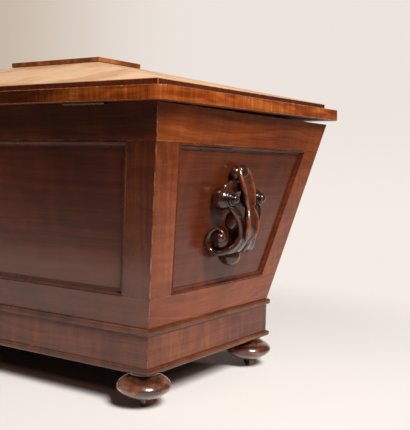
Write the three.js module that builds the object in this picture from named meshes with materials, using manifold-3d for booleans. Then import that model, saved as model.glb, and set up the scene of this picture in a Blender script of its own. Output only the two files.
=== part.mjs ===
// A sarcophagus cellarette: a lidded wine cooler with four tapering panelled sides, a hipped
// lid on two brass butt hinges, a carved scroll handle on each end, and bun feet on castors.
// Millimetres. +Z is up, the front faces -Y, the hinges are at the back (+Y), and the origin
// is on the floor under the middle of the lid.

import * as THREE from 'three';
import { mergeVertices } from 'three/addons/utils/BufferGeometryUtils.js';
import Module from 'manifold-3d';

const wasm = await Module();
wasm.setup();

// Overall sizes
const lidLength = 729;
const lidDepth = 500;
const lidOverhang = 16.8;
const caseHeight = 290;
const endLean = 63.8;
const faceLean = 72.8;

// Heights of the stacked pieces, from the floor up
const footClearance = 14;
const footHeight = 35.4;
const baseThickness = 8.9;
const friezeHeight = 43.7;
const floorThickness = 9.4;
const lidGap = 0.4;
const slabThickness = 17.3;
const crownStep = 9.3;
const crownRise = 52;
const tabletThickness = 7.5;

// Clearances
const seatGap = 0.3;
const mitreGap = 0.15;
const overrun = 2;

const footTop = footClearance + footHeight;
const baseTop = footTop + baseThickness;
const friezeTop = baseTop + friezeHeight;
const floorTop = friezeTop + floorThickness;
const caseTop = floorTop + caseHeight;
const caseTopHalfLength = lidLength / 2 - lidOverhang;
const caseTopHalfDepth = lidDepth / 2 - lidOverhang;
const caseFootHalfLength = caseTopHalfLength - endLean;
const caseFootHalfDepth = caseTopHalfDepth - faceLean;

// Half the outside length and depth of the tapering case at a height
const halfLength = (z) => caseTopHalfLength - endLean * (caseTop - z) / caseHeight;
const halfDepth = (z) => caseTopHalfDepth - faceLean * (caseTop - z) / caseHeight;

// Finishes
const finish = (color, roughness, metalness) => (
  new THREE.MeshStandardMaterial({ color, roughness, metalness })
);
const frameWood = finish(0x6b3419, 0.32, 0);
const panelWood = finish(0x5a2a17, 0.3, 0);
const mouldingWood = finish(0x4a2113, 0.28, 0);
const plinthWood = finish(0x673319, 0.32, 0);
const turnedWood = finish(0x3d1b12, 0.22, 0);
const carvedWood = finish(0x3a170d, 0.2, 0);
const lidWood = finish(0x7d3f16, 0.24, 0);
const crownWood = finish(0x8a5228, 0.2, 0);
const brass = finish(0xa98a4a, 0.36, 1);
const liningMetal = finish(0x84868a, 0.55, 1);
const ironMetal = finish(0x4d4a47, 0.5, 1);

const root = new THREE.Group();

function addMesh(parent, name, geometry, material) {
  const mesh = new THREE.Mesh(geometry, material);
  mesh.name = name;
  parent.add(mesh);
  return mesh;
}

// Solids from rings of points

function signedVolume(positions, faces) {
  let sum = 0;
  for (const [a, b, c] of faces) {
    sum += positions[a].dot(new THREE.Vector3().crossVectors(positions[b], positions[c]));
  }
  return sum;
}

function facesToGeometry(positions, faces) {
  const outward = signedVolume(positions, faces) > 0;
  const index = faces.flatMap(([a, b, c]) => (outward ? [a, b, c] : [a, c, b]));
  const geometry = new THREE.BufferGeometry();
  geometry.setAttribute('position', new THREE.Float32BufferAttribute(
    positions.flatMap((point) => point.toArray()), 3));
  geometry.setIndex(index);
  return geometry;
}

// The flat end of a loft, cut into triangles in the plane that it faces most
function capFaces(ring, offset, flipped) {
  const normal = new THREE.Vector3();
  ring.forEach((point, i) => {
    normal.add(new THREE.Vector3().crossVectors(point, ring[(i + 1) % ring.length]));
  });
  const size = normal.toArray().map(Math.abs);
  const across = size.indexOf(Math.max(...size));
  const [u, v] = [0, 1, 2].filter((axis) => axis !== across);
  const flat = ring.map((point) => {
    return new THREE.Vector2(point.getComponent(u), point.getComponent(v));
  });
  const runsForward = !THREE.ShapeUtils.isClockWise(flat);
  const order = flat.map((_, i) => (runsForward ? i : flat.length - 1 - i));
  const faces = THREE.ShapeUtils.triangulateShape(order.map((i) => flat[i]), []);
  return faces.map((face) => {
    const [a, b, c] = face.map((i) => order[i] + offset);
    return runsForward === flipped ? [a, c, b] : [a, b, c];
  });
}

// Joins rings of equal length side to side. An open loft gets flat ends, a closed one returns
// to its first ring.
function loft(rings, closed = false) {
  const count = rings[0].length;
  const faces = [];
  const spans = closed ? rings.length : rings.length - 1;
  for (let span = 0; span < spans; span += 1) {
    const here = span * count;
    const next = ((span + 1) % rings.length) * count;
    for (let i = 0; i < count; i += 1) {
      const j = (i + 1) % count;
      faces.push([here + i, here + j, next + j], [here + i, next + j, next + i]);
    }
  }
  if (!closed) {
    faces.push(...capFaces(rings[0], 0, true));
    faces.push(...capFaces(rings.at(-1), (rings.length - 1) * count, false));
  }
  return facesToGeometry(rings.flat(), faces);
}

const rectangle = (halfX, halfY, z) => [
  new THREE.Vector3(halfX, halfY, z),
  new THREE.Vector3(-halfX, halfY, z),
  new THREE.Vector3(-halfX, -halfY, z),
  new THREE.Vector3(halfX, -halfY, z),
];

// Sweeps an outline of [inset, height] points round a rectangle with mitred corners
function mitredRing(halfX, halfY, outline) {
  const corner = (signX, signY) => outline.map(([inset, z]) => (
    new THREE.Vector3(signX * (halfX - inset), signY * (halfY - inset), z)
  ));
  return loft([corner(1, 1), corner(-1, 1), corner(-1, -1), corner(1, -1)], true);
}

// Joining and cutting

function toSolid(geometry) {
  const bare = geometry.clone();
  bare.deleteAttribute('normal');
  bare.deleteAttribute('uv');
  const merged = mergeVertices(bare);
  const triVerts = [];
  for (let i = 0; i < merged.index.count; i += 3) {
    const [a, b, c] = [0, 1, 2].map((corner) => merged.index.getX(i + corner));
    if (a !== b && b !== c && c !== a) triVerts.push(a, b, c);
  }
  return new wasm.Manifold(new wasm.Mesh({
    numProp: 3,
    vertProperties: new Float32Array(merged.attributes.position.array),
    triVerts: new Uint32Array(triVerts),
  }));
}

function toGeometry(solid) {
  const mesh = solid.getMesh();
  const geometry = new THREE.BufferGeometry();
  geometry.setAttribute('position', new THREE.Float32BufferAttribute(mesh.vertProperties, 3));
  geometry.setIndex(Array.from(mesh.triVerts));
  return geometry;
}

function cut(geometry, ...tools) {
  return toGeometry(tools.reduce((solid, tool) => solid.subtract(toSolid(tool)), toSolid(geometry)));
}

function join(...geometries) {
  return toGeometry(geometries.map(toSolid).reduce((solid, other) => solid.add(other)));
}

function boxBetween(low, high) {
  const size = high.map((value, i) => value - low[i]);
  const middle = high.map((value, i) => (value + low[i]) / 2);
  return new THREE.BoxGeometry(...size).translate(...middle);
}

// A cylinder along Z, from one height to another
function roundBar(radius, low, high, segments) {
  const bar = new THREE.CylinderGeometry(radius, radius, high - low, segments);
  return bar.rotateX(Math.PI / 2).translate(0, 0, (low + high) / 2);
}

// A turned shape: its profile is [radius, height] points, spun round Z
function turned(profile, segments, start = 0) {
  const points = profile.map(([radius, height]) => new THREE.Vector2(radius, height));
  return new THREE.LatheGeometry(points, segments, start).rotateX(Math.PI / 2);
}

function arc(centreX, centreY, radiusX, radiusY, from, to, steps) {
  return Array.from({ length: steps + 1 }, (_, i) => {
    const angle = THREE.MathUtils.degToRad(from + (to - from) * i / steps);
    return [centreX + radiusX * Math.cos(angle), centreY + radiusY * Math.sin(angle)];
  });
}

// The four sides of the case. Each is made as a back, facing +Y, and turned to its place.
// The mitred frame is rebated for a panel, and the rails run through over the stiles.
const frameThickness = 20;
const topRailHeight = 45.9;
const bottomRailHeight = 42.1;
const faceStileWidth = 44;
const endStileWidth = 47.5;
const rebateWidth = 8;
const lipThickness = 4.2;
const panelThickness = 9;
const openingTop = caseTop - topRailHeight;
const openingBottom = floorTop + bottomRailHeight;

const turnedSide = (turn, stileWidth, halfAlong, halfOut, towardsBack) => {
  const group = new THREE.Group();
  group.rotation.z = turn;
  root.add(group);
  return { group, stileWidth, halfAlong, halfOut, towardsBack };
};
const sides = {
  back: turnedSide(0, faceStileWidth, halfLength, halfDepth, 0),
  front: turnedSide(Math.PI, faceStileWidth, halfLength, halfDepth, 0),
  left: turnedSide(Math.PI / 2, endStileWidth, halfDepth, halfLength, 1),
  right: turnedSide(-Math.PI / 2, endStileWidth, halfDepth, halfLength, -1),
};

// A point on a side: along it, in from its outer face, and up
const sidePoint = (side, along, depth, z) => (
  new THREE.Vector3(along, side.halfOut(z) - depth, z)
);

function railGeometry(side, outline) {
  const end = (sign) => outline.map(([depth, z]) => (
    sidePoint(side, sign * (side.halfAlong(z) - depth - mitreGap), depth, z)
  ));
  return loft([end(-1), end(1)]);
}

function topRail(side) {
  return railGeometry(side, [
    [0, openingTop],
    [lipThickness, openingTop],
    [lipThickness, openingTop + rebateWidth],
    [frameThickness, openingTop + rebateWidth],
    [frameThickness, caseTop],
    [0, caseTop],
  ]);
}

function bottomRail(side) {
  return railGeometry(side, [
    [0, openingBottom],
    [lipThickness, openingBottom],
    [lipThickness, openingBottom - rebateWidth],
    [frameThickness, openingBottom - rebateWidth],
    [frameThickness, floorTop],
    [0, floorTop],
  ]);
}

function stile(side, sign) {
  const outline = [
    [mitreGap, 0],
    [side.stileWidth, 0],
    [side.stileWidth, lipThickness],
    [side.stileWidth - rebateWidth, lipThickness],
    [side.stileWidth - rebateWidth, frameThickness],
    [frameThickness + mitreGap, frameThickness],
  ];
  const level = (z) => outline.map(([across, depth]) => (
    sidePoint(side, sign * (side.halfAlong(z) - across), depth, z)
  ));
  return loft([level(openingBottom), level(openingTop)]);
}

function panel(side) {
  const front = lipThickness + seatGap;
  const level = (z) => {
    const half = side.halfAlong(z) - side.stileWidth + rebateWidth - seatGap;
    return [
      sidePoint(side, -half, front, z),
      sidePoint(side, half, front, z),
      sidePoint(side, half, front + panelThickness, z),
      sidePoint(side, -half, front + panelThickness, z),
    ];
  };
  return loft([
    level(openingBottom - rebateWidth + seatGap),
    level(openingTop + rebateWidth - seatGap),
  ]);
}

// The panel moulding: a proud bead against the frame, a quirk, and a cove down to the panel
const mouldingWidth = 8.3;
const beadRadius = 1.6;
const beadProud = 1.1;
const quirkDepth = 1.1;
const coveEdge = 0.7;
const beadSteps = 4;
const coveSteps = 4;

function mouldingOutline() {
  const beadCentre = seatGap + beadRadius;
  const beadDepth = beadRadius - beadProud;
  const beadInner = seatGap + 2 * beadRadius;
  const coveWidth = mouldingWidth - beadInner;
  const coveDrop = lipThickness - coveEdge - quirkDepth;
  return [
    [seatGap, lipThickness],
    ...arc(beadCentre, beadDepth, beadRadius, beadRadius, 180, 360, beadSteps),
    ...arc(mouldingWidth, quirkDepth, coveWidth, coveDrop, 180, 90, coveSteps),
    [mouldingWidth, lipThickness],
  ];
}

function panelMoulding(side) {
  const corner = (sign, edge, inward) => mouldingOutline().map(([inset, depth]) => {
    const z = edge + inward * inset;
    return sidePoint(side, sign * (side.halfAlong(z) - side.stileWidth - inset), depth, z);
  });
  return loft([
    corner(1, openingTop, -1),
    corner(-1, openingTop, -1),
    corner(-1, openingBottom, 1),
    corner(1, openingBottom, 1),
  ], true);
}

// The butt hinges: each leaf is let in flush, and the pin's axis is level with the joint
// between case and lid, just clear of the back face.
const hingeLength = 68;
const hingeFromEnd = 111.7;
const knuckleRadius = 3.4;
const pinRadius = 1.4;
const pinClearance = 0.1;
const leafWidth = 15;
const leafThickness = 1.8;
const knuckleCount = 5;
const knuckleSegments = 12;
const knuckleReach = 0.6;
const axisY = caseTopHalfDepth + knuckleRadius + seatGap;
const axisZ = caseTop + lidGap / 2;

const hingeFromMiddle = caseTopHalfLength - hingeFromEnd;
const hingeCentres = [-hingeFromMiddle, hingeFromMiddle];

// The box lock: let into the back of the front top rail, with a bolt that slides sideways
// into the two hooks of the strike on the lid.
const lockWidth = 62;
const lockHeight = 32;
const lockThickness = 12;
const lockWall = 1.6;
const hookFromMiddle = 16;
const hookThickness = 3;
const hookDepth = 6;
const hookDrop = 10;
const hookHole = 3.6;
const hookFoot = 1.8;
const slotClearance = 0.7;
const keyholeRadius = 2.4;
const keySlotWidth = 2;
const keyholeDrop = 22;
const keyBarrelSegments = 10;
const lockDepth = frameThickness - lockThickness;
const hookMiddleDepth = lockDepth + lockThickness / 2;

// A bar on the front side with a slanting outline that follows the face
function barOnSide(side, fromAlong, toAlong, fromDepth, toDepth, low, high) {
  const end = (along) => [
    sidePoint(side, along, fromDepth, low),
    sidePoint(side, along, toDepth, low),
    sidePoint(side, along, toDepth, high),
    sidePoint(side, along, fromDepth, high),
  ];
  return loft([end(fromAlong), end(toAlong)]);
}

// A keyhole through the thickness: a round barrel hole over a slot for the key's bit
function keyhole(fromY, toY, z) {
  const barrel = roundBar(keyholeRadius, fromY, toY, keyBarrelSegments);
  barrel.rotateX(-Math.PI / 2).translate(0, 0, z);
  const slot = boxBetween(
    [-keySlotWidth / 2, fromY, z - 3 * keyholeRadius],
    [keySlotWidth / 2, toY, z],
  );
  return join(barrel, slot);
}

function backTopRail(side) {
  const pockets = hingeCentres.map((centre) => boxBetween(
    [centre - hingeLength / 2 - seatGap, caseTopHalfDepth - leafWidth - seatGap,
      caseTop - leafThickness - seatGap],
    [centre + hingeLength / 2 + seatGap, caseTopHalfDepth + overrun, caseTop + overrun],
  ));
  return cut(topRail(side), ...pockets);
}

function frontTopRail(side) {
  const pocket = barOnSide(
    side,
    -lockWidth / 2 - seatGap,
    lockWidth / 2 + seatGap,
    lockDepth - seatGap,
    frameThickness + overrun,
    caseTop - lockHeight - seatGap,
    caseTop + overrun,
  );
  const hole = keyhole(
    side.halfOut(openingTop) - frameThickness,
    caseTopHalfDepth + overrun,
    caseTop - keyholeDrop,
  );
  return cut(topRail(side), pocket, hole);
}

for (const [name, side] of Object.entries(sides)) {
  const topRailMaker = { back: backTopRail, front: frontTopRail }[name] ?? topRail;
  addMesh(side.group, `${name}_top_rail`, topRailMaker(side), frameWood);
  addMesh(side.group, `${name}_bottom_rail`, bottomRail(side), frameWood);
  addMesh(side.group, `${name}_left_stile`, stile(side, 1), frameWood);
  addMesh(side.group, `${name}_right_stile`, stile(side, -1), frameWood);
  addMesh(side.group, `${name}_panel`, panel(side), panelWood);
  addMesh(side.group, `${name}_panel_moulding`, panelMoulding(side), mouldingWood);
}

// The plinth: the case floor and the base are boards with a rounded nosing that stands proud
// of the frieze between them.
const nosingBeyondCase = 3.9;
const nosingProud = 4.2;
const floorNosingRadius = 3;
const baseNosingRadius = 3.6;
const friezeThickness = 18;
const nosingSteps = 3;
const nosingHalfLength = caseFootHalfLength + nosingBeyondCase;
const nosingHalfDepth = caseFootHalfDepth + nosingBeyondCase;
const friezeHalfLength = nosingHalfLength - nosingProud;
const friezeHalfDepth = nosingHalfDepth - nosingProud;

function nosedBoard(low, high, radius) {
  const outline = [
    ...arc(-radius, low + radius, radius, radius, -90, 0, nosingSteps),
    ...arc(-radius, high - radius, radius, radius, 0, 90, nosingSteps),
  ];
  return loft(outline.map(([beyond, z]) => (
    rectangle(nosingHalfLength + beyond, nosingHalfDepth + beyond, z)
  )));
}

addMesh(root, 'case_floor', nosedBoard(friezeTop, floorTop, floorNosingRadius), plinthWood);
addMesh(root, 'plinth_frieze', mitredRing(friezeHalfLength, friezeHalfDepth, [
  [0, baseTop],
  [friezeThickness, baseTop],
  [friezeThickness, friezeTop],
  [0, friezeTop],
]), plinthWood);
addMesh(root, 'plinth_base', nosedBoard(footTop, baseTop, baseNosingRadius), plinthWood);

// The bun feet, each turned in one piece with a low collar that is glued under the base board,
// and with a well in the underside that hides most of the castor.
const footInset = 25.5;
const bunRadius = 38;
const bunMiddle = 29.5;
const bunFlat = 19;
const bunPointedness = 1.18;
const neckRadius = 18;
const collarRadius = 20.5;
const collarHeight = 3.6;
const wellRadius = 16;
const wellDepth = 10.5;
const stemBore = 4.15;
const stemBoreDepth = 16;
const footSegments = 24;
const bunSteps = 8;
const footHalfLength = nosingHalfLength - footInset;
const footHalfDepth = nosingHalfDepth - footInset;
const wellTop = footClearance + wellDepth;
const bunHalfHeight = bunMiddle - footClearance;
const bunEndAngle = Math.acos((bunFlat / bunRadius) ** (1 / bunPointedness));
const bunReach = bunHalfHeight / Math.sin(bunEndAngle) ** bunPointedness;

// An ellipse drawn out to a blunter edge, and cut off flat at both ends
function bunCurve() {
  return Array.from({ length: bunSteps + 1 }, (_, i) => {
    const angle = bunEndAngle * (2 * i / bunSteps - 1);
    const rise = Math.sign(angle) * Math.abs(Math.sin(angle)) ** bunPointedness;
    return [bunRadius * Math.cos(angle) ** bunPointedness, bunMiddle + bunReach * rise];
  });
}

function footGeometry() {
  return turned([
    [0, wellTop + stemBoreDepth],
    [stemBore, wellTop + stemBoreDepth],
    [stemBore, wellTop],
    [wellRadius, wellTop],
    [wellRadius, footClearance],
    ...bunCurve(),
    [neckRadius, bunMiddle + bunHalfHeight],
    [neckRadius, footTop - collarHeight],
    [collarRadius, footTop - collarHeight],
    [collarRadius, footTop],
    [0, footTop],
  ], footSegments);
}

// The castors: a brass horn swivels on its stem in the foot, and carries a wheel on an axle
// that trails the stem.
const wheelRadius = 9.5;
const wheelWidth = 7;
const wheelSegments = 16;
const wheelEdge = 1.2;
const wheelClearance = 0.4;
const wheelBore = 1.92;
const axleRadius = 1.8;
const axleClearance = 0.1;
const axleHead = 0.6;
const axleSegments = 10;
const castorTrail = 3;
const hornCheek = 1.7;
const hornCheekHalf = 4.2;
const hornBridge = 1.8;
const flangeRadius = 8;
const flangeThickness = 1.2;
const stemRadius = 4;
const stemLength = 14;
const stemSegments = 12;
const cheekSegments = 5;
const axleHeight = wheelRadius * Math.cos(Math.PI / wheelSegments);
const hornHalfWidth = wheelWidth / 2 + wheelClearance + hornCheek;
const hornTop = wellTop - seatGap - flangeThickness;

function wheelGeometry() {
  const half = wheelWidth / 2;
  const profile = [
    [wheelBore, -half],
    [wheelRadius - wheelEdge, -half],
    [wheelRadius, -half + wheelEdge],
    [wheelRadius, half - wheelEdge],
    [wheelRadius - wheelEdge, half],
    [wheelBore, half],
    [wheelBore, -half],
  ];
  const halfFacet = Math.PI / wheelSegments;
  return turned(profile, wheelSegments, halfFacet).rotateY(Math.PI / 2);
}

function hornGeometry() {
  const cheekInner = hornHalfWidth - hornCheek;
  const cheek = (sign) => {
    const outline = new THREE.Shape();
    outline.absarc(castorTrail, axleHeight, hornCheekHalf, 0, -Math.PI, true);
    outline.lineTo(-flangeRadius + hornCheek, hornTop);
    outline.lineTo(castorTrail + hornCheekHalf, hornTop);
    const plate = new THREE.ExtrudeGeometry(outline, {
      depth: hornCheek,
      bevelEnabled: false,
      curveSegments: cheekSegments,
    });
    plate.rotateX(Math.PI / 2).rotateZ(Math.PI / 2);
    return plate.translate(sign > 0 ? cheekInner : -hornHalfWidth, 0, 0);
  };
  const bridge = boxBetween(
    [-hornHalfWidth, -flangeRadius + hornCheek, hornTop - hornBridge],
    [hornHalfWidth, castorTrail + hornCheekHalf, hornTop],
  );
  const flange = roundBar(flangeRadius, hornTop - hornBridge / 2, hornTop + flangeThickness, stemSegments);
  const stem = roundBar(stemRadius, hornTop, hornTop + flangeThickness + stemLength, stemSegments);
  const bore = axleBar(axleRadius + axleClearance, hornHalfWidth + overrun);
  return cut(join(cheek(1), cheek(-1), bridge, flange, stem), bore);
}

function axleBar(radius, half) {
  const bar = roundBar(radius, -half, half, axleSegments).rotateY(Math.PI / 2);
  return bar.translate(0, castorTrail, axleHeight);
}

const corners = {
  back_left: { x: -1, y: 1, swivel: 205 },
  back_right: { x: 1, y: 1, swivel: 150 },
  front_left: { x: -1, y: -1, swivel: 65 },
  front_right: { x: 1, y: -1, swivel: -40 },
};

for (const [name, corner] of Object.entries(corners)) {
  const group = new THREE.Group();
  group.position.set(corner.x * footHalfLength, corner.y * footHalfDepth, 0);
  root.add(group);
  addMesh(group, `${name}_foot`, footGeometry(), turnedWood);
  const castor = new THREE.Group();
  castor.rotation.z = THREE.MathUtils.degToRad(corner.swivel);
  group.add(castor);
  addMesh(castor, `${name}_castor_horn`, hornGeometry(), brass);
  addMesh(castor, `${name}_castor_axle`, axleBar(axleRadius, hornHalfWidth + axleHead), brass);
  const wheel = addMesh(castor, `${name}_castor_wheel`, wheelGeometry(), brass);
  wheel.position.set(0, castorTrail, axleHeight);
}

// The liner: a sheet metal box that follows the tapering sides, and the crate of half-lapped
// boards that keeps the bottles apart inside it. The cross boards stand a step higher.
const linerWall = 2;
const linerBelowRim = 9;
const crateHeight = 145;
const crateBoard = 8;
const crateStep = 1;
const crateColumnCount = 4;
const crateRowCount = 3;
const linerBottom = floorTop + seatGap;
const linerFloor = linerBottom + linerWall;
const linerTop = caseTop - linerBelowRim;
const linerInset = frameThickness + seatGap;

function linerGeometry() {
  const level = (inset, z) => rectangle(halfLength(z) - inset, halfDepth(z) - inset, z);
  return loft([
    level(linerInset, linerBottom),
    level(linerInset, linerTop),
    level(linerInset + linerWall, linerTop),
    level(linerInset + linerWall, linerFloor),
  ]);
}

function crateGeometry() {
  const inset = linerInset + linerWall + seatGap;
  const low = linerFloor + seatGap;
  const high = low + crateHeight;
  const half = crateBoard / 2;
  const boardAlongX = (y) => loft([low, high - crateStep].map((z) => (
    rectangle(halfLength(z) - inset, half, z).map((point) => point.add(new THREE.Vector3(0, y, 0)))
  )));
  const boardAlongY = (x) => loft([low + crateStep, high].map((z) => (
    rectangle(half, halfDepth(z) - inset, z).map((point) => point.add(new THREE.Vector3(x, 0, 0)))
  )));
  const rowPitch = 2 * (halfDepth(low) - inset) / crateRowCount;
  const columnPitch = 2 * (halfLength(low) - inset) / crateColumnCount;
  const boards = [];
  for (let row = 1; row < crateRowCount; row += 1) {
    boards.push(boardAlongX((row - crateRowCount / 2) * rowPitch));
  }
  for (let column = 1; column < crateColumnCount; column += 1) {
    boards.push(boardAlongY((column - crateColumnCount / 2) * columnPitch));
  }
  return join(...boards);
}

addMesh(root, 'liner', linerGeometry(), liningMetal);
addMesh(root, 'bottle_crate', crateGeometry(), panelWood);

// The lock in the front rail
const boltThickness = 3;
const boltBarHeight = 3;
const boltTongue = 2.4;
const boltTongueReach = 5.5;
const boltRiserWidth = 3;
const boltGapToHook = 1.2;
const boltBelowHook = 1;
const escutcheonHalfWidth = 7;
const escutcheonHalfHeight = 11;
const escutcheonThickness = 1.2;
const escutcheonSegments = 10;
const hookHoleMiddle = caseTop + lidGap - hookDrop + hookFoot + hookHole / 2;
const cavityTop = caseTop - lockWall;
const hookBottom = caseTop + lidGap - hookDrop;
const cavityBottom = hookBottom - boltBelowHook - boltBarHeight;

function lockCaseGeometry(side) {
  const shell = barOnSide(
    side, -lockWidth / 2, lockWidth / 2, lockDepth, frameThickness, caseTop - lockHeight, caseTop);
  const cavity = barOnSide(
    side,
    -lockWidth / 2 + lockWall,
    lockWidth / 2 - lockWall,
    lockDepth + lockWall,
    frameThickness - lockWall,
    cavityBottom - seatGap,
    cavityTop,
  );
  const slots = [-1, 1].map((sign) => {
    const middle = sidePoint(side, sign * hookFromMiddle, hookMiddleDepth, caseTop);
    return boxBetween(
      [middle.x - hookThickness / 2 - slotClearance, middle.y - hookDepth / 2 - slotClearance,
        cavityTop - overrun],
      [middle.x + hookThickness / 2 + slotClearance, middle.y + hookDepth / 2 + slotClearance,
        caseTop + overrun],
    );
  });
  const keyZ = caseTop - keyholeDrop;
  const faceY = side.halfOut(keyZ);
  const hole = keyhole(faceY - lockDepth - lockThickness / 2, faceY, keyZ);
  return cut(shell, cavity, hole, ...slots);
}

// The bolt: a bar with two risers, each with a tongue that passes through a hook
function boltGeometry(side) {
  const middle = sidePoint(side, 0, hookMiddleDepth, hookHoleMiddle);
  const lowY = middle.y - boltThickness / 2;
  const highY = middle.y + boltThickness / 2;
  const barTop = cavityBottom + boltBarHeight;
  const tongueLow = hookHoleMiddle - boltTongue / 2;
  const tongueHigh = hookHoleMiddle + boltTongue / 2;
  const tipOf = (sign) => sign * hookFromMiddle - hookThickness / 2 - boltGapToHook;
  const bar = boxBetween(
    [tipOf(-1) - boltTongueReach - boltRiserWidth, lowY, cavityBottom],
    [tipOf(1), highY, barTop],
  );
  const fingers = [-1, 1].flatMap((sign) => {
    const tip = tipOf(sign);
    const heel = tip - boltTongueReach;
    return [
      boxBetween([heel - boltRiserWidth, lowY, barTop - seatGap], [heel, highY, tongueHigh]),
      boxBetween([heel - seatGap, lowY, tongueLow], [tip, highY, tongueHigh]),
    ];
  });
  return join(bar, ...fingers);
}

function escutcheonGeometry() {
  const outline = new THREE.Shape();
  outline.absellipse(0, 0, escutcheonHalfWidth, escutcheonHalfHeight, 0, 2 * Math.PI, false, 0);
  const plate = new THREE.ExtrudeGeometry(outline, {
    depth: escutcheonThickness,
    bevelEnabled: false,
    curveSegments: escutcheonSegments,
  });
  const hole = keyhole(-overrun, escutcheonThickness + overrun, 0).rotateX(Math.PI / 2);
  hole.rotateZ(Math.PI);
  return cut(plate, hole.translate(0, 0, escutcheonThickness));
}

// Sets a group on a side's sloping face: its X along the face, its Y up the slope and its Z
// out of it
function groupOnFace(side, lean, along, depth, z) {
  const group = new THREE.Group();
  const slope = Math.atan2(lean, caseHeight);
  const up = new THREE.Vector3(0, Math.sin(slope), Math.cos(slope));
  const out = new THREE.Vector3(0, Math.cos(slope), -Math.sin(slope));
  group.quaternion.setFromRotationMatrix(
    new THREE.Matrix4().makeBasis(new THREE.Vector3(-1, 0, 0), up, out));
  group.position.copy(sidePoint(side, along, depth, z));
  side.group.add(group);
  return group;
}

addMesh(sides.front.group, 'lock_case', lockCaseGeometry(sides.front), brass);
addMesh(sides.front.group, 'lock_bolt', boltGeometry(sides.front), ironMetal);
const escutcheonGroup = groupOnFace(sides.front, faceLean, 0, -seatGap, caseTop - keyholeDrop);
addMesh(escutcheonGroup, 'key_escutcheon', escutcheonGeometry(), brass);

// The hinges. The case leaves carry the outer and middle knuckles, the lid leaves the others.
function hingeLeaf(plate, isCaseLeaf) {
  const pitch = hingeLength / knuckleCount;
  const knuckles = [];
  for (let i = 0; i < knuckleCount; i += 1) {
    if ((i % 2 === 0) === isCaseLeaf) {
      const low = -hingeLength / 2 + i * pitch + (i > 0 ? seatGap / 2 : 0);
      const high = -hingeLength / 2 + (i + 1) * pitch - (i < knuckleCount - 1 ? seatGap / 2 : 0);
      knuckles.push(roundBar(knuckleRadius, low, high, knuckleSegments).rotateY(Math.PI / 2));
    }
  }
  const gaps = [];
  for (let i = 0; i < knuckleCount; i += 1) {
    if ((i % 2 === 0) !== isCaseLeaf) {
      const low = -hingeLength / 2 + i * pitch - (i > 0 ? seatGap / 2 : overrun);
      const high = -hingeLength / 2 + (i + 1) * pitch + (i < knuckleCount - 1 ? seatGap / 2 : overrun);
      const reach = knuckleRadius + knuckleReach;
      gaps.push(boxBetween([low, -reach, -reach], [high, overrun * reach, reach]));
    }
  }
  const bore = roundBar(
    pinRadius + pinClearance, -hingeLength, hingeLength, knuckleSegments).rotateY(Math.PI / 2);
  return cut(join(cut(plate, ...gaps), ...knuckles), bore);
}

// A leaf's plate reaches from the knuckle inwards, below the joint on the case and above on
// the lid. Its place is measured from the hinge axis.
function leafPlate(faceZ, direction) {
  const inner = caseTopHalfDepth - leafWidth - axisY;
  const edges = [faceZ, faceZ + direction * leafThickness].sort((a, b) => a - b);
  return boxBetween(
    [-hingeLength / 2, inner, edges[0]],
    [hingeLength / 2, 0, edges[1]],
  );
}

hingeCentres.forEach((centre, i) => {
  const name = ['left', 'right'][i];
  const group = new THREE.Group();
  group.position.set(centre, axisY, axisZ);
  root.add(group);
  addMesh(group, `${name}_hinge_case_leaf`, hingeLeaf(leafPlate(-lidGap / 2, -1), true), brass);
  const pin = roundBar(pinRadius, -hingeLength / 2, hingeLength / 2, knuckleSegments);
  addMesh(group, `${name}_hinge_pin`, pin.rotateY(Math.PI / 2), brass);
});

// The lid, placed by the hinge axis. The hinges bind a little, so it stands slightly open.
const lidStandsOpen = 0.75;
const slabCorner = 17.4;
const slabFrameWidth = 58;
const slabCornerSteps = 5;
const crownSetBack = 20;
const crownBoard = 14;
const tabletLength = 190.8;
const tabletDepth = 103.2;
const tabletBeyondCrown = 1.5;
const strikeWidth = 58;
const strikeDepth = 13;
const strikeThickness = 1.6;
const grooveClearance = 0.6;
const slabLow = lidGap / 2;
const slabHigh = slabLow + slabThickness;
const crownLow = slabHigh + seatGap;
const crownEdge = slabHigh + crownStep;
const crownTop = crownEdge + crownRise;
const tabletLow = crownTop + seatGap;
const crownHalfLength = lidLength / 2 - crownSetBack;
const crownHalfDepth = lidDepth / 2 - crownSetBack;
const crownTopHalfLength = tabletLength / 2 - tabletBeyondCrown;
const crownTopHalfDepth = tabletDepth / 2 - tabletBeyondCrown;

const lid = new THREE.Group();
lid.position.set(0, axisY, axisZ);
lid.rotation.x = -THREE.MathUtils.degToRad(lidStandsOpen);
root.add(lid);
const lidMiddle = -axisY;

function roundedRectangle(halfX, halfY, radius) {
  const outline = new THREE.Shape();
  outline.absarc(halfX - radius, halfY - radius, radius, 0, Math.PI / 2, false);
  outline.absarc(radius - halfX, halfY - radius, radius, Math.PI / 2, Math.PI, false);
  outline.absarc(radius - halfX, radius - halfY, radius, Math.PI, 1.5 * Math.PI, false);
  outline.absarc(halfX - radius, radius - halfY, radius, 1.5 * Math.PI, 2 * Math.PI, false);
  return outline;
}

// The strike's place, measured from the hinge axis: over the hooks' slots in the lock
const strikeY = -sidePoint(sides.front, 0, hookMiddleDepth, caseTop).y - axisY;

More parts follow.
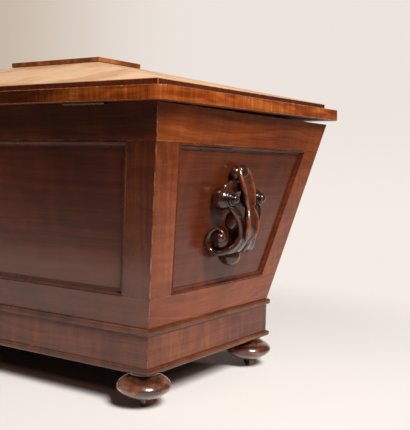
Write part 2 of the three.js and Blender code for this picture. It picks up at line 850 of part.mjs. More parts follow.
function slabGeometry() {
  const outline = roundedRectangle(lidLength / 2, lidDepth / 2, slabCorner);
  const slab = new THREE.ExtrudeGeometry(outline, {
    depth: slabThickness,
    bevelEnabled: false,
    curveSegments: slabCornerSteps,
  }).translate(0, lidMiddle, slabLow);
  const window = loft([slabLow - overrun, slabHigh + overrun].map((z) => (
    rectangle(lidLength / 2 - slabFrameWidth, lidDepth / 2 - slabFrameWidth, z)
  ))).translate(0, lidMiddle, 0);
  const hingePockets = hingeCentres.flatMap((centre) => {
    const half = hingeLength / 2 + seatGap;
    const innerY = caseTopHalfDepth - leafWidth - axisY - seatGap;
    const groove = roundBar(knuckleRadius + grooveClearance, -half, half, knuckleSegments);
    return [
      boxBetween([-half, innerY, slabLow - overrun], [half, 0, slabLow + leafThickness + seatGap])
        .translate(centre, 0, 0),
      groove.rotateY(Math.PI / 2).translate(centre, 0, 0),
    ];
  });
  const strikePocket = boxBetween(
    [-strikeWidth / 2 - seatGap, strikeY - strikeDepth / 2 - seatGap, slabLow - overrun],
    [strikeWidth / 2 + seatGap, strikeY + strikeDepth / 2 + seatGap,
      slabLow + strikeThickness + seatGap],
  );
  return cut(slab, window, strikePocket, ...hingePockets);
}

function hippedBlock(low, drop) {
  return loft([
    rectangle(crownHalfLength, crownHalfDepth, low - drop),
    rectangle(crownHalfLength, crownHalfDepth, crownEdge - drop),
    rectangle(crownTopHalfLength, crownTopHalfDepth, crownTop - drop),
  ]).translate(0, lidMiddle, 0);
}

function crownGeometry() {
  const window = loft([crownLow - overrun, crownTop].map((z) => (
    rectangle(lidLength / 2 - slabFrameWidth, lidDepth / 2 - slabFrameWidth, z)
  ))).translate(0, lidMiddle, 0);
  const hollow = toSolid(window).intersect(toSolid(hippedBlock(crownLow - overrun, crownBoard)));
  return toGeometry(toSolid(hippedBlock(crownLow, 0)).subtract(hollow));
}

function tabletGeometry() {
  return boxBetween(
    [-tabletLength / 2, lidMiddle - tabletDepth / 2, tabletLow],
    [tabletLength / 2, lidMiddle + tabletDepth / 2, tabletLow + tabletThickness - seatGap],
  );
}

// The strike: a plate let into the lid, with two hooks that drop into the lock
function strikeGeometry() {
  const plate = boxBetween(
    [-strikeWidth / 2, strikeY - strikeDepth / 2, slabLow],
    [strikeWidth / 2, strikeY + strikeDepth / 2, slabLow + strikeThickness],
  );
  const hooks = [-1, 1].map((sign) => boxBetween(
    [sign * hookFromMiddle - hookThickness / 2, strikeY - hookDepth / 2, slabLow - hookDrop],
    [sign * hookFromMiddle + hookThickness / 2, strikeY + hookDepth / 2, slabLow + strikeThickness / 2],
  ));
  const holeLow = slabLow - hookDrop + hookFoot;
  const hole = boxBetween(
    [-strikeWidth, strikeY - hookHole / 2, holeLow],
    [strikeWidth, strikeY + hookHole / 2, holeLow + hookHole],
  );
  return cut(join(plate, ...hooks), hole);
}

addMesh(lid, 'lid_slab', slabGeometry(), lidWood);
addMesh(lid, 'lid_crown', crownGeometry(), crownWood);
addMesh(lid, 'lid_tablet', tabletGeometry(), lidWood);
addMesh(lid, 'lock_strike', strikeGeometry(), brass);
hingeCentres.forEach((centre, i) => {
  const name = ['left', 'right'][i];
  const leaf = addMesh(lid, `${name}_hinge_lid_leaf`, hingeLeaf(leafPlate(slabLow, 1), false), brass);
  leaf.position.x = centre;
});

// The carved handles: a leaf strap bows out from the head down to a curled tip, a C-scroll on
// each side of it runs from an upper to a lower volute, and a bud hangs below. Measured on the
// panel: X across, Y up the slope, Z out from the panel.
const handleFromMiddle = 19;
const strapHalfWidth = 11.5;
const strapHalfThickness = 4;
const strapPoints = 8;
const strapSteps = 10;
const scrollRadius = 5.4;
const scrollPoints = 6;
const scrollSteps = 11;
const volutePitch = 40;
const voluteHeight = 30;
const voluteRadius = 16.5;
const voluteStand = 37;
const cupPitch = 30;
const cupHeight = -25;
const cupRadius = 11.5;
const cupStand = 27;
const volutePoints = 10;
const headHalfWidth = 17;
const headHalfHeight = 13;
const headHeight = 67;
const headOut = 12;
const budRadius = 14.5;
const budHeight = -50;
const budHalfDepth = 17;
const webHalfWidth = 38;
const webHalfHeight = 14;
const webHalfDepth = 8;
const webHeight = 46;
const footWebHalfWidth = 29;
const footWebHalfHeight = 9;
const footWebHalfDepth = 6;
const footWebHeight = -36;
const stemHalfWidth = 7;
const stemHalfThickness = 4.5;
const stemSteps = 5;
const ballPoints = 10;
const ballRings = 6;

// The middle line of the strap, and of the stalk that carries the bud: [height, out]
const strapLine = [[62, 19], [47, 32.5], [30, 42.5], [12, 47], [-9, 47.5], [-24, 41]];
const stalkLine = [[-4, 42], [-24, 34], [-42, 25]];
// The middle line of a scroll: [across, height, out]
const scrollLine = [
  [38, 27, 20],
  [34, 19, 33],
  [28, 7, 42.5],
  [24, -7, 46],
  [22, -21, 42],
  [23, -32, 33],
  [26, -37, 22],
  [29, -31, 13],
];
// A volute is a turned boss with a rounded body, a ring and an eye: [radius, stand]
const voluteOutlineShares = [
  [0, 0],
  [0.85, 0],
  [1, 0.16],
  [0.93, 0.36],
  [0.62, 0.46],
  [0.66, 0.6],
  [0.4, 0.68],
  [0.3, 0.76],
  [0.32, 0.9],
  [0.16, 1],
  [0, 1],
];

const lineOfPoints = (points) => (
  new THREE.CatmullRomCurve3(points.map((point) => new THREE.Vector3(...point)))
);

function ovalBar(points, halfWidth, halfThickness, corners, steps) {
  const outline = new THREE.Shape(Array.from({ length: corners }, (_, i) => {
    const angle = 2 * Math.PI * i / corners;
    return new THREE.Vector2(halfWidth * Math.cos(angle), halfThickness * Math.sin(angle));
  }));
  return new THREE.ExtrudeGeometry(outline, { steps, extrudePath: lineOfPoints(points) });
}

function oval(halfWidth, halfHeight, halfDepth, height, out) {
  const shape = new THREE.SphereGeometry(1, ballPoints, ballRings);
  return shape.scale(halfWidth, halfHeight, halfDepth).translate(0, height, out);
}

// A boss whose axis is level although the panel slopes
function volute(radius, stand, across, height) {
  const outline = voluteOutlineShares.map(([wide, far]) => [wide * radius, far * stand]);
  const boss = turned(outline, volutePoints).rotateX(-Math.atan2(endLean, caseHeight));
  return boss.translate(across, height, radius * endLean / caseHeight + seatGap);
}

function handleGeometry() {
  const strap = ovalBar(
    strapLine.map(([height, out]) => [0, height, out]),
    strapHalfWidth,
    strapHalfThickness,
    strapPoints,
    strapSteps,
  );
  const stalk = ovalBar(
    stalkLine.map(([height, out]) => [0, height, out]),
    stemHalfWidth,
    stemHalfThickness,
    scrollPoints,
    stemSteps,
  );
  const besides = [-1, 1].flatMap((sign) => [
    ovalBar(
      scrollLine.map(([across, height, out]) => [sign * across, height, out]),
      scrollRadius,
      scrollRadius,
      scrollPoints,
      scrollSteps,
    ),
    volute(voluteRadius, voluteStand, sign * volutePitch, voluteHeight),
    volute(cupRadius, cupStand, sign * cupPitch, cupHeight),
  ]);
  const head = oval(headHalfWidth, headHalfHeight, headOut - seatGap, headHeight, headOut);
  const web = oval(webHalfWidth, webHalfHeight, webHalfDepth, webHeight, webHalfDepth + seatGap);
  const footWeb = oval(
    footWebHalfWidth,
    footWebHalfHeight,
    footWebHalfDepth,
    footWebHeight,
    footWebHalfDepth + seatGap,
  );
  const bud = oval(budRadius, budRadius, budHalfDepth, budHeight, budHalfDepth + seatGap);
  return join(strap, stalk, ...besides, head, web, footWeb, bud);
}

for (const name of ['left', 'right']) {
  const side = sides[name];
  const middle = (openingTop + openingBottom) / 2;
  const group = groupOnFace(
    side, endLean, side.towardsBack * handleFromMiddle, lipThickness + seatGap, middle);
  addMesh(group, `${name}_handle`, handleGeometry(), carvedWood);
}

export default root;
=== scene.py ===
import math

import bmesh
import bpy
from mathutils import Matrix, Vector


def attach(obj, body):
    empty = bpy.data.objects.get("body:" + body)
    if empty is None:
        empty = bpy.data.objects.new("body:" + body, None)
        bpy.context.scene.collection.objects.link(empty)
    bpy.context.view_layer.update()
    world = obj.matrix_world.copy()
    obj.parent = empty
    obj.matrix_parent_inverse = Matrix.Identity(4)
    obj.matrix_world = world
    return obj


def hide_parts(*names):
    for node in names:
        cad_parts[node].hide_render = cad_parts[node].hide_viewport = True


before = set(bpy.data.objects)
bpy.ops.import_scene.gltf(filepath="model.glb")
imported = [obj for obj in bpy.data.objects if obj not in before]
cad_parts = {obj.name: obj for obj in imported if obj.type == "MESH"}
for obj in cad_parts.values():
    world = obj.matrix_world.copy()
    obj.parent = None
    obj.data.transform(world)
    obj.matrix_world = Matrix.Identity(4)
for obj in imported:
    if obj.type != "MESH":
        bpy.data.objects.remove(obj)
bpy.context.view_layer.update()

# The frames of the four tapering sides
# Solid mahogany, french polished, with rails that run through over the stiles and mitred
# corners. The arrises have worn pale. A pale painted reflection of the floor lies low on the
# long sides, painted shade darkens the long sides under the lid, and the long sides take
# darker tones than the ends, also painted shade.

case_top = 0.4014
case_foot = 0.1114
case_top_half = Vector((0.3477, 0.2332))
case_lean = Vector((0.0638, 0.0728))
corner_arris = 0.0007
corner_reach = 0.0004
corner_bare_share = 0.44
merge_reach = 0.000002
flat_angle = 0.6
wood_sharp_angle = 32
grain_depth = 0.0002
worn_depth = 0.0003
worn_softness = 0.12
worn_gloss = (0.25, 0.5)
plain_shares = {"Rings": 0.13, "Fibres": 0.35, "Cloud": 0.52}
pore_dark_share = 0.45
grain_height_share = 0.5
fine_rub_share = 0.25
worn_cloud_share = 0.4
ring_slant = 0.6
# Waves are to the metre: one count for every way, or along and twice across the grain
ring_waves_along = 1.5
figure_waves_across = 16.0
drift_waves = (3.0, 11.0, 11.0)
fibre_waves = (14.0, 700.0, 700.0)
pore_waves = (70.0, 1900.0, 1900.0)
cloud_waves = 6.5
rub_waves = (9.0, 5.0, 22.0)
fine_rub_waves = 160.0
worn_waves = (30.0, 120.0, 120.0)
long_rail_grain = dict(ring_width=0.008, wander=0.07, figure_share=0.04, figure_length=0.02)
end_rail_grain = dict(ring_width=0.007, wander=0.09, figure_share=0.04, figure_length=0.016)
stile_grain = dict(
    ring_width=0.009, wander=0.04, figure_share=0.08, figure_length=0.012, shift=(0.3, 0.1, 0.2))
long_specular = 0.28
end_specular = 0.33
# The long sides take darker copies of the ends' tones: painted shade
shaded_long_tones = ("361508", "57240f", "6e3415", "864922")
mahogany_tones = ("421a09", "6e2f12", "8a4218", "a65c2a")
worn_tones = ("7d4a2c", "a87848", "c79f70", "dcc09a")
tint_wander = 0.03
tint_cloud_size = 0.06
floor_sheen_colour = "c4bab4"
floor_sheen_share = 0.1
floor_sheen_top = 0.24
floor_sheen_full = 0.195
lid_shade_colour = "140904"
lid_shade_share = 0.5
lid_shade_bottom = 0.365
lid_shade_full = 0.385


def linear_colour(hex_colour):
    """The linear colour of a written hex colour"""
    values = [int(hex_colour[i:i + 2], 16) / 255 for i in (0, 2, 4)]
    linear = [v / 12.92 if v <= 0.04045 else ((v + 0.055) / 1.055) ** 2.4 for v in values]
    return (*linear, 1.0)


def set_inputs(tree, node, inputs):
    """Sets a node's inputs; each is a value or the output that feeds it"""
    for name, value in inputs.items():
        if isinstance(value, bpy.types.NodeSocket):
            tree.links.new(value, node.inputs[name])
        else:
            node.inputs[name].default_value = value


def add_node(tree, kind, inputs=None, **settings):
    """A node with its settings and its inputs"""
    node = tree.nodes.new(kind)
    for name, value in settings.items():
        setattr(node, name, value)
    set_inputs(tree, node, inputs or {})
    return node


def calculate(tree, operation, *values):
    """A Math node; each value is a number or the output that feeds it"""
    node = add_node(tree, "ShaderNodeMath", dict(enumerate(values)), operation=operation)
    return node.outputs[0]


def weighted(tree, *pairs):
    """The sum of outputs, each times its weight"""
    total = None
    for value, weight in pairs:
        part = calculate(tree, "MULTIPLY", value, weight)
        total = part if total is None else calculate(tree, "ADD", total, part)
    return total


def stretched(tree, place, scales):
    """The place with each of its axes scaled, to draw a pattern out along the grain"""
    node = add_node(tree, "ShaderNodeVectorMath", {0: place, 1: scales}, operation="MULTIPLY")
    return node.outputs[0]


def split_axes(tree, place):
    """The X, Y and Z of a place"""
    return add_node(tree, "ShaderNodeSeparateXYZ", {0: place}).outputs


def noise(tree, place, waves, detail=3.0, roughness=0.55, distortion=0.0):
    """Noise with so many waves to the metre, or so many along each axis"""
    if isinstance(waves, tuple):
        place = stretched(tree, place, waves)
        waves = 1.0
    node = add_node(tree, "ShaderNodeTexNoise", {
        "Vector": place,
        "Scale": waves,
        "Detail": detail,
        "Roughness": roughness,
        "Distortion": distortion,
    })
    return node.outputs[0]


def fade(tree, value, start, end, low=0.0, high=1.0):
    """Turns a value from start to end into a smooth step from low to high"""
    node = add_node(tree, "ShaderNodeMapRange", {
        "Value": value,
        "From Min": start,
        "From Max": end,
        "To Min": low,
        "To Max": high,
    }, interpolation_type="SMOOTHSTEP")
    return node.outputs["Result"]


def blend_colours(tree, factor, *pair):
    """A Mix node between two colours; each is a hex colour or an output"""
    node = add_node(tree, "ShaderNodeMix", {0: factor}, data_type="RGBA")
    places = [i for i, socket in enumerate(node.inputs) if socket.type == "RGBA"]
    colours = [linear_colour(colour) if isinstance(colour, str) else colour for colour in pair]
    set_inputs(tree, node, dict(zip(places, colours)))
    return [socket for socket in node.outputs if socket.type == "RGBA"][0]


def ramp(tree, value, colours):
    """A colour ramp with its colours spread evenly"""
    node = add_node(tree, "ShaderNodeValToRGB", {"Fac": value})
    elements = node.color_ramp.elements
    while len(elements) < len(colours):
        elements.new(0.5)
    for i, colour in enumerate(colours):
        elements[i].position = i / (len(colours) - 1)
        elements[i].color = linear_colour(colour)
    return node.outputs["Color"]


def bumped(tree, height, strength, depth):
    """A normal that follows a height"""
    node = add_node(tree, "ShaderNodeBump", {"Height": height, "Strength": strength, "Distance": depth})
    return node.outputs["Normal"]


def new_group(name, values, results):
    """A shader group that is given a place and named values, and puts out named numbers"""
    group = bpy.data.node_groups.new(name, "ShaderNodeTree")
    group.interface.new_socket("Place", in_out="INPUT", socket_type="NodeSocketVector")
    for label in values:
        group.interface.new_socket(label, in_out="INPUT", socket_type="NodeSocketFloat")
    for label in results:
        group.interface.new_socket(label, in_out="OUTPUT", socket_type="NodeSocketFloat")
    return group, group.nodes.new("NodeGroupInput").outputs, group.nodes.new("NodeGroupOutput")


def build_grain_group():
    """Wood grain on a place whose X runs along the grain, in metres"""
    tree, given, result = new_group(
        "Wood grain", ("Ring width", "Wander", "Figure length"),
        ("Rings", "Fibres", "Pores", "Figure", "Cloud"))
    place = given["Place"]
    drift = calculate(tree, "SUBTRACT", noise(tree, place, drift_waves, roughness=0.5), 0.5)
    drift = calculate(tree, "MULTIPLY", drift, given["Wander"])
    parts = split_axes(tree, place)
    across = weighted(tree, (parts["Y"], 1.0), (drift, 1.0), (parts["Z"], ring_slant))
    banded = add_node(tree, "ShaderNodeCombineXYZ", {
        "X": calculate(tree, "MULTIPLY", parts["X"], ring_waves_along),
        "Y": calculate(tree, "DIVIDE", across, given["Ring width"]),
    })
    rings = noise(tree, banded.outputs[0], 1.0, roughness=0.6)
    pores = noise(tree, place, pore_waves, detail=2.0, roughness=0.5)
    bars = add_node(tree, "ShaderNodeCombineXYZ", {
        "X": calculate(tree, "DIVIDE", 1.0, given["Figure length"]),
        "Y": figure_waves_across,
        "Z": figure_waves_across,
    })
    barred = stretched(tree, place, bars.outputs[0])
    figure = noise(tree, barred, 1.0, detail=2.0, roughness=0.5, distortion=0.6)
    set_inputs(tree, result, {
        "Rings": fade(tree, rings, start=0.3, end=0.7),
        "Fibres": noise(tree, place, fibre_waves, detail=4.0, roughness=0.65),
        "Pores": fade(tree, pores, start=0.34, end=0.26),
        "Figure": fade(tree, figure, start=0.36, end=0.66),
        "Cloud": noise(tree, place, cloud_waves, detail=2.0, roughness=0.5),
    })
    return tree


def build_polish_group():
    """How dull a hand-rubbed polish is, from place to place"""
    tree, given, result = new_group("Old polish", ("Gloss roughness", "Dull roughness"), ("Roughness",))
    rubbed = noise(tree, given["Place"], rub_waves, roughness=0.6)
    rubbed = fade(tree, rubbed, start=0.35, end=0.7)
    fine = noise(tree, given["Place"], fine_rub_waves, detail=2.0, roughness=0.5)
    amount = weighted(tree, (rubbed, 1 - fine_rub_share), (fine, fine_rub_share))
    span = calculate(tree, "SUBTRACT", given["Dull roughness"], given["Gloss roughness"])
    roughness = calculate(tree, "MULTIPLY_ADD", amount, span, given["Gloss roughness"])
    set_inputs(tree, result, {"Roughness": roughness})
    return tree


grain_group = build_grain_group()
polish_group = build_polish_group()
AXIS_ORDERS = {"X": ("X", "Z", "Y"), "Y": ("Y", "Z", "X"), "Z": ("Z", "X", "Y")}


def object_place(tree):
    """The place on the object, in metres"""
    return add_node(tree, "ShaderNodeTexCoord").outputs["Object"]


def place_along(tree, along, shift=(0.0, 0.0, 0.0)):
    """The place on the object, with its axes in the grain's order"""
    parts = split_axes(tree, object_place(tree))
    turned = add_node(tree, "ShaderNodeCombineXYZ", {
        i: parts[axis] for i, axis in enumerate(AXIS_ORDERS[along])})
    moved = add_node(tree, "ShaderNodeVectorMath", {0: turned.outputs[0], 1: shift}, operation="ADD")
    return moved.outputs[0]


def place_group(tree, group, place, values=None):
    """A group's outputs for a place and the group's values"""
    inputs = {"Place": place, **(values or {})}
    return add_node(tree, "ShaderNodeGroup", inputs, node_tree=group).outputs


def new_material(name):
    """A material with its tree and its shader"""
    material = bpy.data.materials.new(name)
    material.use_nodes = True
    tree = material.node_tree
    return material, tree, tree.nodes["Principled BSDF"]


def polished_wood(name, along, tones, ring_width, wander, figure_share, figure_length,
                  gloss=(0.15, 0.28), coat=0.0, specular=0.4, shift=(0.0, 0.0, 0.0)):
    """A french polished wood with its grain along one axis"""
    material, tree, shader = new_material(name)
    place = place_along(tree, along, shift)
    grain = place_group(tree, grain_group, place, {
        "Ring width": ring_width,
        "Wander": wander,
        "Figure length": figure_length,
    })
    polish = place_group(tree, polish_group, place, {
        "Gloss roughness": gloss[0],
        "Dull roughness": gloss[1],
    })
    plain = [(grain[part], share * (1.0 - figure_share)) for part, share in plain_shares.items()]
    shade = weighted(tree, *plain, (grain["Figure"], figure_share))
    colour = ramp(tree, fade(tree, shade, start=0.18, end=0.82), tones)
    dark = calculate(tree, "MULTIPLY", grain["Pores"], pore_dark_share)
    height = weighted(
        tree, (grain["Fibres"], grain_height_share), (grain["Pores"], -grain_height_share))
    set_inputs(tree, shader, {
        "Base Color": blend_colours(tree, dark, colour, tones[0]),
        "Roughness": polish["Roughness"],
        "Normal": bumped(tree, height, strength=0.12, depth=grain_depth),
        "Specular IOR Level": specular,
        "Coat Weight": coat,
        "Coat Roughness": 0.12,
    })
    return material


def worn_arris(name, along, tones, bare_share):
    """A wood at its edges, where the polish has rubbed through in places"""
    material, tree, shader = new_material(name)
    place = place_along(tree, along)
    grain = place_group(tree, grain_group, place)
    shade = weighted(
        tree, (grain["Fibres"], 1 - worn_cloud_share), (grain["Cloud"], worn_cloud_share))
    polished = ramp(tree, shade, tones)
    bare = ramp(tree, grain["Fibres"], worn_tones)
    rubbed = noise(tree, place, worn_waves, detail=4.0, roughness=0.7)
    middle = 1.0 - bare_share
    mask = fade(tree, rubbed, middle - worn_softness, middle + worn_softness)
    smoothest, roughest = worn_gloss
    set_inputs(tree, shader, {
        "Base Color": blend_colours(tree, mask, polished, bare),
        "Roughness": calculate(tree, "MULTIPLY_ADD", mask, roughest - smoothest, smoothest),
        "Normal": bumped(tree, rubbed, strength=0.3, depth=worn_depth),
    })
    return material


def lay_over(material, amount, colour):
    """Lays a colour over a material's own, by an amount"""
    tree = material.node_tree
    base = tree.nodes["Principled BSDF"].inputs["Base Color"]
    tree.links.new(blend_colours(tree, amount, base.links[0].from_socket, colour), base)


def tint_by_height(material, colour, share, none_at, full_at):
    """Lays a colour over a wood, in soft clouds, more and more from one height to another"""
    tree = material.node_tree
    place = object_place(tree)
    clouds = noise(tree, place, 1 / tint_cloud_size)
    height = weighted(tree, (split_axes(tree, place)["Z"], 1.0), (clouds, tint_wander))
    lay_over(material, fade(tree, height, none_at, full_at, 0.0, share), colour)


def paint_floor_sheen(material, colour=floor_sheen_colour, share=floor_sheen_share):
    """Paints a pale sheen low on a long side: a painted reflection of the floor in the polish"""
    tint_by_height(material, colour, share, floor_sheen_top, floor_sheen_full)


def new_piece(name, mesh, materials, body, nodes=()):
    """Puts a mesh in the scene, on its body and in place of its CAD nodes"""
    for material in materials:
        mesh.materials.append(material)
    piece = bpy.data.objects.new(name, mesh)
    bpy.context.scene.collection.objects.link(piece)
    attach(piece, body)
    if nodes:
        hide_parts(*nodes)
    return piece


def merged_copy(node, name):
    """A node's mesh with its loose triangles merged into flat faces"""
    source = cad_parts[node].data
    mesh = bpy.data.meshes.new(name)
    mesh.from_pydata([v.co for v in source.vertices], [], [p.vertices for p in source.polygons])
    shape = bmesh.new()
    shape.from_mesh(mesh)
    bmesh.ops.remove_doubles(shape, verts=shape.verts, dist=merge_reach)
    bmesh.ops.dissolve_limit(
        shape, angle_limit=math.radians(flat_angle), verts=shape.verts, edges=shape.edges)
    shape.to_mesh(mesh)
    shape.free()
    return mesh


def half_sizes(height):
    """Half the outside length and depth of the tapering case at a height"""
    share = (case_top - height) / (case_top - case_foot)
    return case_top_half - case_lean * share


def on_case_corner(edge):
    """Tells if an edge runs up one of the four outer corners of the case"""
    for vert in edge.verts:
        half = half_sizes(vert.co.z)
        beside = max(abs(abs(vert.co.x) - half.x), abs(abs(vert.co.y) - half.y))
        if beside > corner_reach:
            return False
    return True


def ease_edges(piece, width, edge_material, segments=2, sharp_angle=wood_sharp_angle, chosen=None):
    """Rounds the sharp edges, or those of them that are chosen, with a material of their own"""
    shape = bmesh.new()
    shape.from_mesh(piece.data)
    weight = shape.edges.layers.float.new("bevel_weight_edge")
    for edge in shape.edges:
        sharp = edge.is_manifold and edge.calc_face_angle() > math.radians(sharp_angle)
        if sharp and (chosen is None or chosen(edge)):
            edge[weight] = 1.0
    shape.to_mesh(piece.data)
    shape.free()
    bevel = piece.modifiers.new("Eased edges", "BEVEL")
    bevel.width = width
    bevel.segments = segments
    bevel.limit_method = "WEIGHT"
    bevel.material = edge_material
    bevel.harden_normals = True
    piece.data.shade_smooth()
    piece.data.set_sharp_from_angle(angle=math.radians(sharp_angle))


def eased_copy(node, materials, body, material_slot, arris, stuff="wood", **easing):
    """A piece with the CAD solid's shape and eased edges, which take its last material"""
    name = f"{node}_{stuff}"
    piece = new_piece(name, merged_copy(node, name), materials, body, [node])
    ease_edges(piece, arris, len(materials) - 1, **easing)
    return piece.data


rail_woods = {
    "X": polished_wood("Mahogany rail, long side", "X", shaded_long_tones, **long_rail_grain,
                       specular=long_specular),
    "Y": polished_wood("Mahogany rail, end", "Y", mahogany_tones, **end_rail_grain,
                       specular=end_specular),
}
stile_woods = {
    "X": polished_wood("Mahogany stile, long side", "Z", shaded_long_tones, **stile_grain,
                       specular=long_specular),
    "Y": polished_wood("Mahogany stile, end", "Z", mahogany_tones, **stile_grain,
                       specular=end_specular),
}
worn_rails = {
    "X": worn_arris("Worn rail edge, long side", "X", shaded_long_tones, corner_bare_share),
    "Y": worn_arris("Worn rail edge, end", "Y", mahogany_tones, corner_bare_share),
}
worn_stile = worn_arris("Worn stile edge", "Z", mahogany_tones, corner_bare_share)
SIDES = {"back": "X", "front": "X", "left": "Y", "right": "Y"}
# Painted reflection of the floor, low on the long rails and stiles
paint_floor_sheen(rail_woods["X"])
paint_floor_sheen(stile_woods["X"])
# Painted shade from the lid's overhang, along the top of the long rails
tint_by_height(rail_woods["X"], lid_shade_colour, lid_shade_share, lid_shade_bottom, lid_shade_full)

for side, along in SIDES.items():
    for member, wood, worn in (
        ("top_rail", rail_woods[along], worn_rails[along]),
        ("bottom_rail", rail_woods[along], worn_rails[along]),
        ("left_stile", stile_woods[along], worn_stile),
        ("right_stile", stile_woods[along], worn_stile),
    ):
        eased_copy(f"{side}_{member}", [wood, worn], "case", "frame_wood", corner_arris,
                   chosen=on_case_corner)

# The panels
# Plain mahogany boards let into the rebates of the frames, a little darker and calmer than
# the frames, with long level grain.

panel_arris = 0.0003
long_panel_grain = dict(ring_width=0.01, wander=0.05, figure_share=0.06, figure_length=0.03)
end_panel_grain = dict(
    ring_width=0.008, wander=0.04, figure_share=0.08, figure_length=0.02, shift=(0.0, 0.02, 0.0))
panel_tones = ("36150b", "4a1f10", "5c2814", "70371f")
end_panel_tones = ("421b0d", "552511", "662e16", "7a4226")
warm_floor_sheen_colour = "d8ab94"
panel_floor_sheen_share = 0.14
panel_woods = {
    "X": polished_wood("Panel wood, long side", "X", panel_tones, **long_panel_grain,
                       specular=long_specular),
    "Y": polished_wood("Panel wood, end", "Y", end_panel_tones, **end_panel_grain,
                       specular=end_specular),
}
# A warmer painted reflection of the floor, low on the long panels
paint_floor_sheen(panel_woods["X"], warm_floor_sheen_colour, panel_floor_sheen_share)

for side, along in SIDES.items():
    eased_copy(f"{side}_panel", [panel_woods[along]], "case", "panel_wood", panel_arris)

# The panel mouldings
# A bead stands a little proud of the frame and a cove runs down to the panel. Run in one
# length, mitred at the corners and glued in, they are darker than the frame.

opening_top = 0.3555
opening_bottom = 0.1535
stile_widths = {"X": 0.044, "Y": 0.0475}
moulding_gap = 0.00005
moulding_width = 0.0083
moulding_back = 0.0042
bead_radius = 0.0016
bead_proud = 0.0011
quirk_depth = 0.0011
cove_edge = 0.0007
moulding_steps = 14
loft_sharp_angle = 35
moulding_grain = dict(ring_width=0.004, wander=0.01, figure_share=0.1, figure_length=0.02)
moulding_tones = ("2c1108", "4a1f0f", "622c16", "80462a")
moulding_floor_sheen_share = 0.04


def arc_points(centre, radii, start, end, steps):
    """Points round part of an ellipse, with its angles in degrees"""
    angles = [math.radians(start + (end - start) * i / steps) for i in range(steps + 1)]
    return [(centre[0] + radii[0] * math.cos(a), centre[1] + radii[1] * math.sin(a)) for a in angles]


def side_place(side, along, depth, height):
    """A point on a side: along it, in from its face, and up"""
    half = half_sizes(height)
    if side == "back":
        return Vector((along, half.y - depth, height))
    if side == "front":
        return Vector((-along, depth - half.y, height))
    if side == "left":
        return Vector((depth - half.x, along, height))
    return Vector((half.x - depth, -along, height))


def solid_mesh(shape, name, sharp_angle=loft_sharp_angle):
    """Turns a form into a mesh that is smooth but for its sharp edges"""
    bmesh.ops.recalc_face_normals(shape, faces=shape.faces)
    mesh = bpy.data.meshes.new(name)
    shape.to_mesh(mesh)
    shape.free()
    mesh.shade_smooth()
    mesh.set_sharp_from_angle(angle=math.radians(sharp_angle))
    return mesh


def join_rows(shape, rows):
    """Puts faces between rows of points; a row of one point closes a form"""
    for here, there in zip(rows, rows[1:]):
        count = max(len(here), len(there))
        for i in range(count):
            j = (i + 1) % count
            corners = [here[i % len(here)], here[j % len(here)],
                       there[j % len(there)], there[i % len(there)]]
            shape.faces.new(list(dict.fromkeys(corners)))


def loft_mesh(name, rings, closed=False):
    """Joins rings of equal length; an open loft gets flat ends"""
    shape = bmesh.new()
    rows = [[shape.verts.new(point) for point in ring] for ring in rings]
    if closed:
        rows.append(rows[0])
    else:
        shape.faces.new(rows[0])
        shape.faces.new(rows[-1])
    join_rows(shape, rows)
    return solid_mesh(shape, name)


bead_centre = (moulding_gap + bead_radius, bead_radius - bead_proud)
cove_radii = (moulding_width - moulding_gap - 2 * bead_radius, moulding_back - cove_edge - quirk_depth)
moulding_outline = [
    (moulding_gap, moulding_back),
    *arc_points(bead_centre, (bead_radius, bead_radius), 180, 360, moulding_steps),
    *arc_points((moulding_width, quirk_depth), cove_radii, 180, 90, moulding_steps),
    (moulding_width, moulding_back),
]


def both_ways(name, tones, **details):
    """One polished wood for the long sides, and the same for the ends"""
    return {
        "X": polished_wood(f"{name}, long side", "X", tones, **details),
        "Y": polished_wood(f"{name}, end", "Y", tones, **details),
    }


def moulding_corner(side, end, edge, inward):
    """The moulding's outline where two of its lengths meet at a mitre"""
    points = []
    for inset, depth in moulding_outline:
        height = edge + inward * inset
        half = half_sizes(height)
        reach = (half.x if SIDES[side] == "X" else half.y) - stile_widths[SIDES[side]] - inset
        points.append(side_place(side, end * reach, depth, height))
    return points


moulding_woods = both_ways("Moulding", moulding_tones, **moulding_grain, gloss=(0.22, 0.32), specular=0.2)
# Painted reflection of the floor, low on the long mouldings
paint_floor_sheen(moulding_woods["X"], share=moulding_floor_sheen_share)

for side, along in SIDES.items():
    name = f"{side}_panel_moulding_run"
    mesh = loft_mesh(name, [
        moulding_corner(side, 1, opening_top, -1),
        moulding_corner(side, -1, opening_top, -1),
        moulding_corner(side, -1, opening_bottom, 1),
        moulding_corner(side, 1, opening_bottom, 1),
    ], closed=True)
    new_piece(name, mesh, [moulding_woods[along]], "case", [f"{side}_panel_moulding"])

# The plinth
# A mitred frieze with figured veneer stands between two boards, whose rounded edges
# are proud of it. The upper board is the floor of the case.

nosing_half = Vector((0.2878, 0.1643))
floor_board_foot = 0.102
floor_board_radius = 0.003
base_board_foot = 0.0494
base_board_top = 0.0583
base_board_radius = 0.0036
nosing_steps = 8
frieze_arris = 0.0005
frieze_bare_share = 0.35
plinth_floor_sheen_share = 0.05
nosing_grain = dict(ring_width=0.006, wander=0.02, figure_share=0.1, figure_length=0.02)
frieze_grain = dict(
    ring_width=0.012, wander=0.06, figure_share=0.09, figure_length=0.014, shift=(0.0, 0.05, 0.11))
plinth_tones = ("34140a", "592614", "71371c", "8b4f2c")
nosing_tones = ("2c1208", "4c2210", "653217", "80502e")


def turn_end_grain(mesh):
    """Gives the long sides' faces the first material and those of the ends the second"""
    for face in mesh.polygons:
        face.material_index = int(abs(face.normal.x) > abs(face.normal.y))


